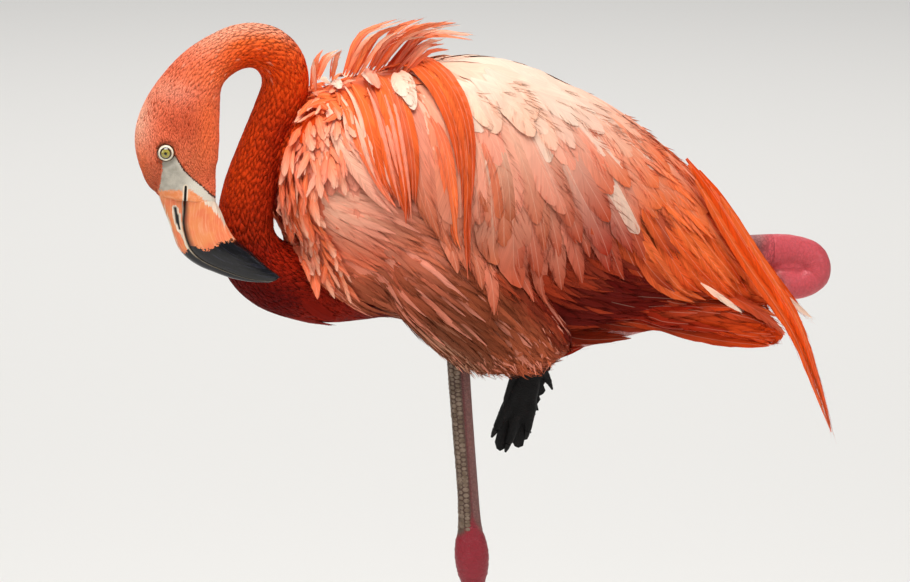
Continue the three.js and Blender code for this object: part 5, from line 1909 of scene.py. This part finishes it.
def plumeFeathers():
    plume = {"feathers": 34, "leading": 5, "steps": 9, "halfSpread": 10}
    rng = np.random.default_rng(151)
    steps = plume["steps"]
    for side, name in ((-1, "plumeLeft"), (1, "plumeRight")):
        guide = np.array(plumeGuides[side], float)
        paths, frames, widths = [], [], []
        for k in range(plume["feathers"]):
            start, end = rng.uniform(0, 0.35), rng.uniform(0.62, 0.96)
            if k < plume["leading"]:
                start, end = 0.05 * k, 1.0
            t = np.linspace(start, end, steps)
            line = through(guide, t * (len(guide) - 1))
            ahead = unit(np.gradient(line, axis=0))
            across = np.cross(ahead, leftward)
            aside = rng.uniform(-1, 1) * plume["halfSpread"] * (1 - t) ** 0.7 * smoothstep(-0.2, 0.35, t)
            outward = rng.uniform(-2.5, 2.5) * (1 - 0.6 * t)[:, None]
            paths.append(line + across * aside[:, None] + leftward * outward)
            frames.append(np.tile(np.array([0, side, 0.25 * rng.normal()]), (steps, 1)))
            widths.append(rng.uniform(2.6, 5.0) if k >= plume["leading"] else 3.6)
        count = len(paths)
        colour = varied(rng, np.tile(tone["flame"], (count, 1)), 0.06, tone["orange"], 0.4)
        tip = varied(rng, np.tile(tone["flame"], (count, 1)), 0.08, tone["orange"], 0.4)
        templates = vanes(6, 152, "quill", 16, 0.3, 14)
        grow(name, paths, frames, widths, templates, colour, tip,
             lanceVane, "long_feathers", seed=153 + side, roll=14, replaces=(f"plume_{name[5:].lower()}",))


tailGuides = [  # root, bend and tip of the tail's long feathers, x and z, how many, half width, tones
    ((138, 490), (196, 474), (266, 437), 10, 5.6, ("rust", "orange")),
    ((130, 468), (186, 452), (252, 423), 9, 5.8, ("rust", "flame")),
    ((150, 484), (192, 471), (246, 447), 10, 5.0, ("coral", "orange")),
    ((112, 452), (160, 444), (210, 430), 7, 4.8, ("rust", "flame")),
    ((120, 462), (165, 452), (232, 434), 7, 4.4, ("coral", "orange")),
    ((20, 450), (60, 429), (104, 425), 9, 4.8, ("garnet", "brick")),
    ((50, 456), (92, 437), (140, 431), 9, 4.8, ("garnet", "rust")),
    ((85, 458), (128, 444), (176, 436), 9, 4.6, ("garnet", "rust")),
    ((190, 478), (236, 454), (274, 424), 7, 5.0, ("flame", "coral")),
    ((176, 466), (226, 446), (266, 421), 7, 4.6, ("rust", "flame")),
    ((150, 444), (208, 430), (262, 414), 6, 4.4, ("rust", "flame")),
]
paleGuides = [((187, -46, 475), (203, -49, 463), (221, -48, 450), 3.0),
              ((268, 40, 462), (294, 40, 441), (314, 40, 425), 2.6)]


def tailFan():
    fan = {"halfSpread": 30, "steps": 10, "sag": 6}
    rng = np.random.default_rng(171)
    spread, steps = fan["halfSpread"], fan["steps"]
    paths, frames, widths, roots, tips = [], [], [], [], []
    for root, bend, tip, count, half, (rootTone, tipTone) in tailGuides:
        for k in range(count):
            y = ((k + 0.5) / count * 2 - 1) * spread + rng.normal(0, 2)
            stray = rng.normal(0, 1.6, 3)
            low = fan["sag"] * (y / spread) ** 2
            guide = [(root[0], y, root[1] - low), (bend[0], y * 0.95 + stray[1], bend[1] - low + stray[2]),
                     (tip[0], y * 0.7, tip[1] + stray[0])]
            paths.append(through(guide, np.linspace(0, 2 * rng.uniform(0.82, 1.0), steps)))
            frames.append(np.tile(unit(np.array([0.1, np.sign(y) * (0.4 + abs(y) / spread), 0.5])),
                                  (steps, 1)))
            widths.append(half * rng.uniform(0.8, 1.2))
            roots.append(tone[rootTone])
            tips.append(tone[tipTone])
    colour, tip = varied(rng, np.array(roots), 0.07), varied(rng, np.array(tips), 0.08, tone["coral"], 0.25)
    for *guide, half in paleGuides:
        paths.append(through(np.array(guide, float), np.linspace(0, 2, steps)))
        frames.append(np.tile(np.array([0.1, np.sign(guide[0][1]), 0.3]), (steps, 1)))
        widths.append(half)
        colour, tip = np.vstack([colour, tone["shell"]]), np.vstack([tip, tone["cream"]])
    templates = vanes(6, 172, "tapered", 14, 0.2, 16, 0.06, 0.35)
    grow("tailFan", paths, frames, widths, templates, colour, tip, lanceVane, "long_feathers",
         seed=173, roll=9, camber=0.14, toneBend=1.5)


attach(skin, "root")
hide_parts("trunk", "head", "tail",
            *[f"neck_{part}" for part in ("base", "lower", "middle", "arch", "upper")],
            *[f"{part}_{side}" for part in ("ruff", "scapulars", "coverts", "tertials", "thigh")
              for side in ("left", "right")])
for coat in (neckCoat, headCoat, underCoat, bellySilk, fringe, flank, tailFeathers, hangingCoverts,
             backFeathers, tertialFeathers, shoulderLances, ruffFeathers, crestFeathers, plumeFeathers,
             tailFan):
    coat()


def stageAndLight():
    studio = {"floorReach": 9000, "floor": "#ece9e4", "sky": "#dfe3e8", "skyStrength": 0.34}
    boxes = (  # name, place, target, size, power
        ("softboxAbove", (-0.45, -0.9, 2.4), (0, 0, 0.5), 1.4, 52),
        ("softboxFront", (-2.6, -1.6, 1.3), (0, 0, 0.5), 1.2, 8),
        ("softboxSide", (2.2, -2.0, 1.3), (0.2, 0, 0.5), 1.2, 11),
        ("softboxBehind", (0.9, 3.4, 3.6), (0.9, 3.4, 0), 4.0, 120))
    scene = bpy.context.scene
    reach = studio["floorReach"]
    corners = [(-reach, -reach, -1), (reach, -reach, -1), (reach, reach, -1), (-reach, reach, -1)]
    shader = {"Base Color": rgba(studio["floor"]), "Roughness": 0.9, "Specular IOR Level": 0.2}
    floor = addObject("floor", solidMesh("floor", corners, [(0, 1, 2, 3)]),
                      newMaterial("paleMattFloor", **shader)[0])
    scene.world = bpy.data.worlds.new("paleStudio")
    scene.world.use_nodes = True
    background = scene.world.node_tree.nodes["Background"].inputs
    background["Color"].default_value = rgba(studio["sky"])
    background["Strength"].default_value = studio["skyStrength"]
    for name, place, target, size, power in boxes:
        light = bpy.data.lights.new(name, "AREA")
        light.size = size
        light.energy = power
        lamp = bpy.data.objects.new(name, light)
        scene.collection.objects.link(lamp)
        lamp.location = place
        lamp.rotation_euler = (Vector(target) - Vector(place)).to_track_quat("-Z", "Y").to_euler()
    scene.view_settings.view_transform = "Standard"
    scene.view_settings.look = "None"
    print("floor and light")


def placeCamera():
    view = {"target": (0, 0, 0.471), "distance": 5.0, "azimuth": -18, "elevation": 10, "mmPerPixel": 0.78,
            "pixelsWide": 910, "sensor": 36}
    azimuth, elevation = math.radians(view["azimuth"]), math.radians(view["elevation"])
    back = Vector((math.sin(azimuth) * math.cos(elevation), -math.cos(azimuth) * math.cos(elevation),
                   math.sin(elevation)))
    camera = bpy.data.cameras.new("camera")
    camera.sensor_width = view["sensor"]
    camera.lens = view["sensor"] * view["distance"] * 1000 / view["mmPerPixel"] / view["pixelsWide"]
    camera.clip_end = 100
    item = bpy.data.objects.new("camera", camera)
    bpy.context.scene.collection.objects.link(item)
    item.location = Vector(view["target"]) + back * view["distance"]
    item.rotation_euler = (-back).to_track_quat("-Z", "Y").to_euler()
    bpy.context.scene.camera = item


stageAndLight()
placeCamera()
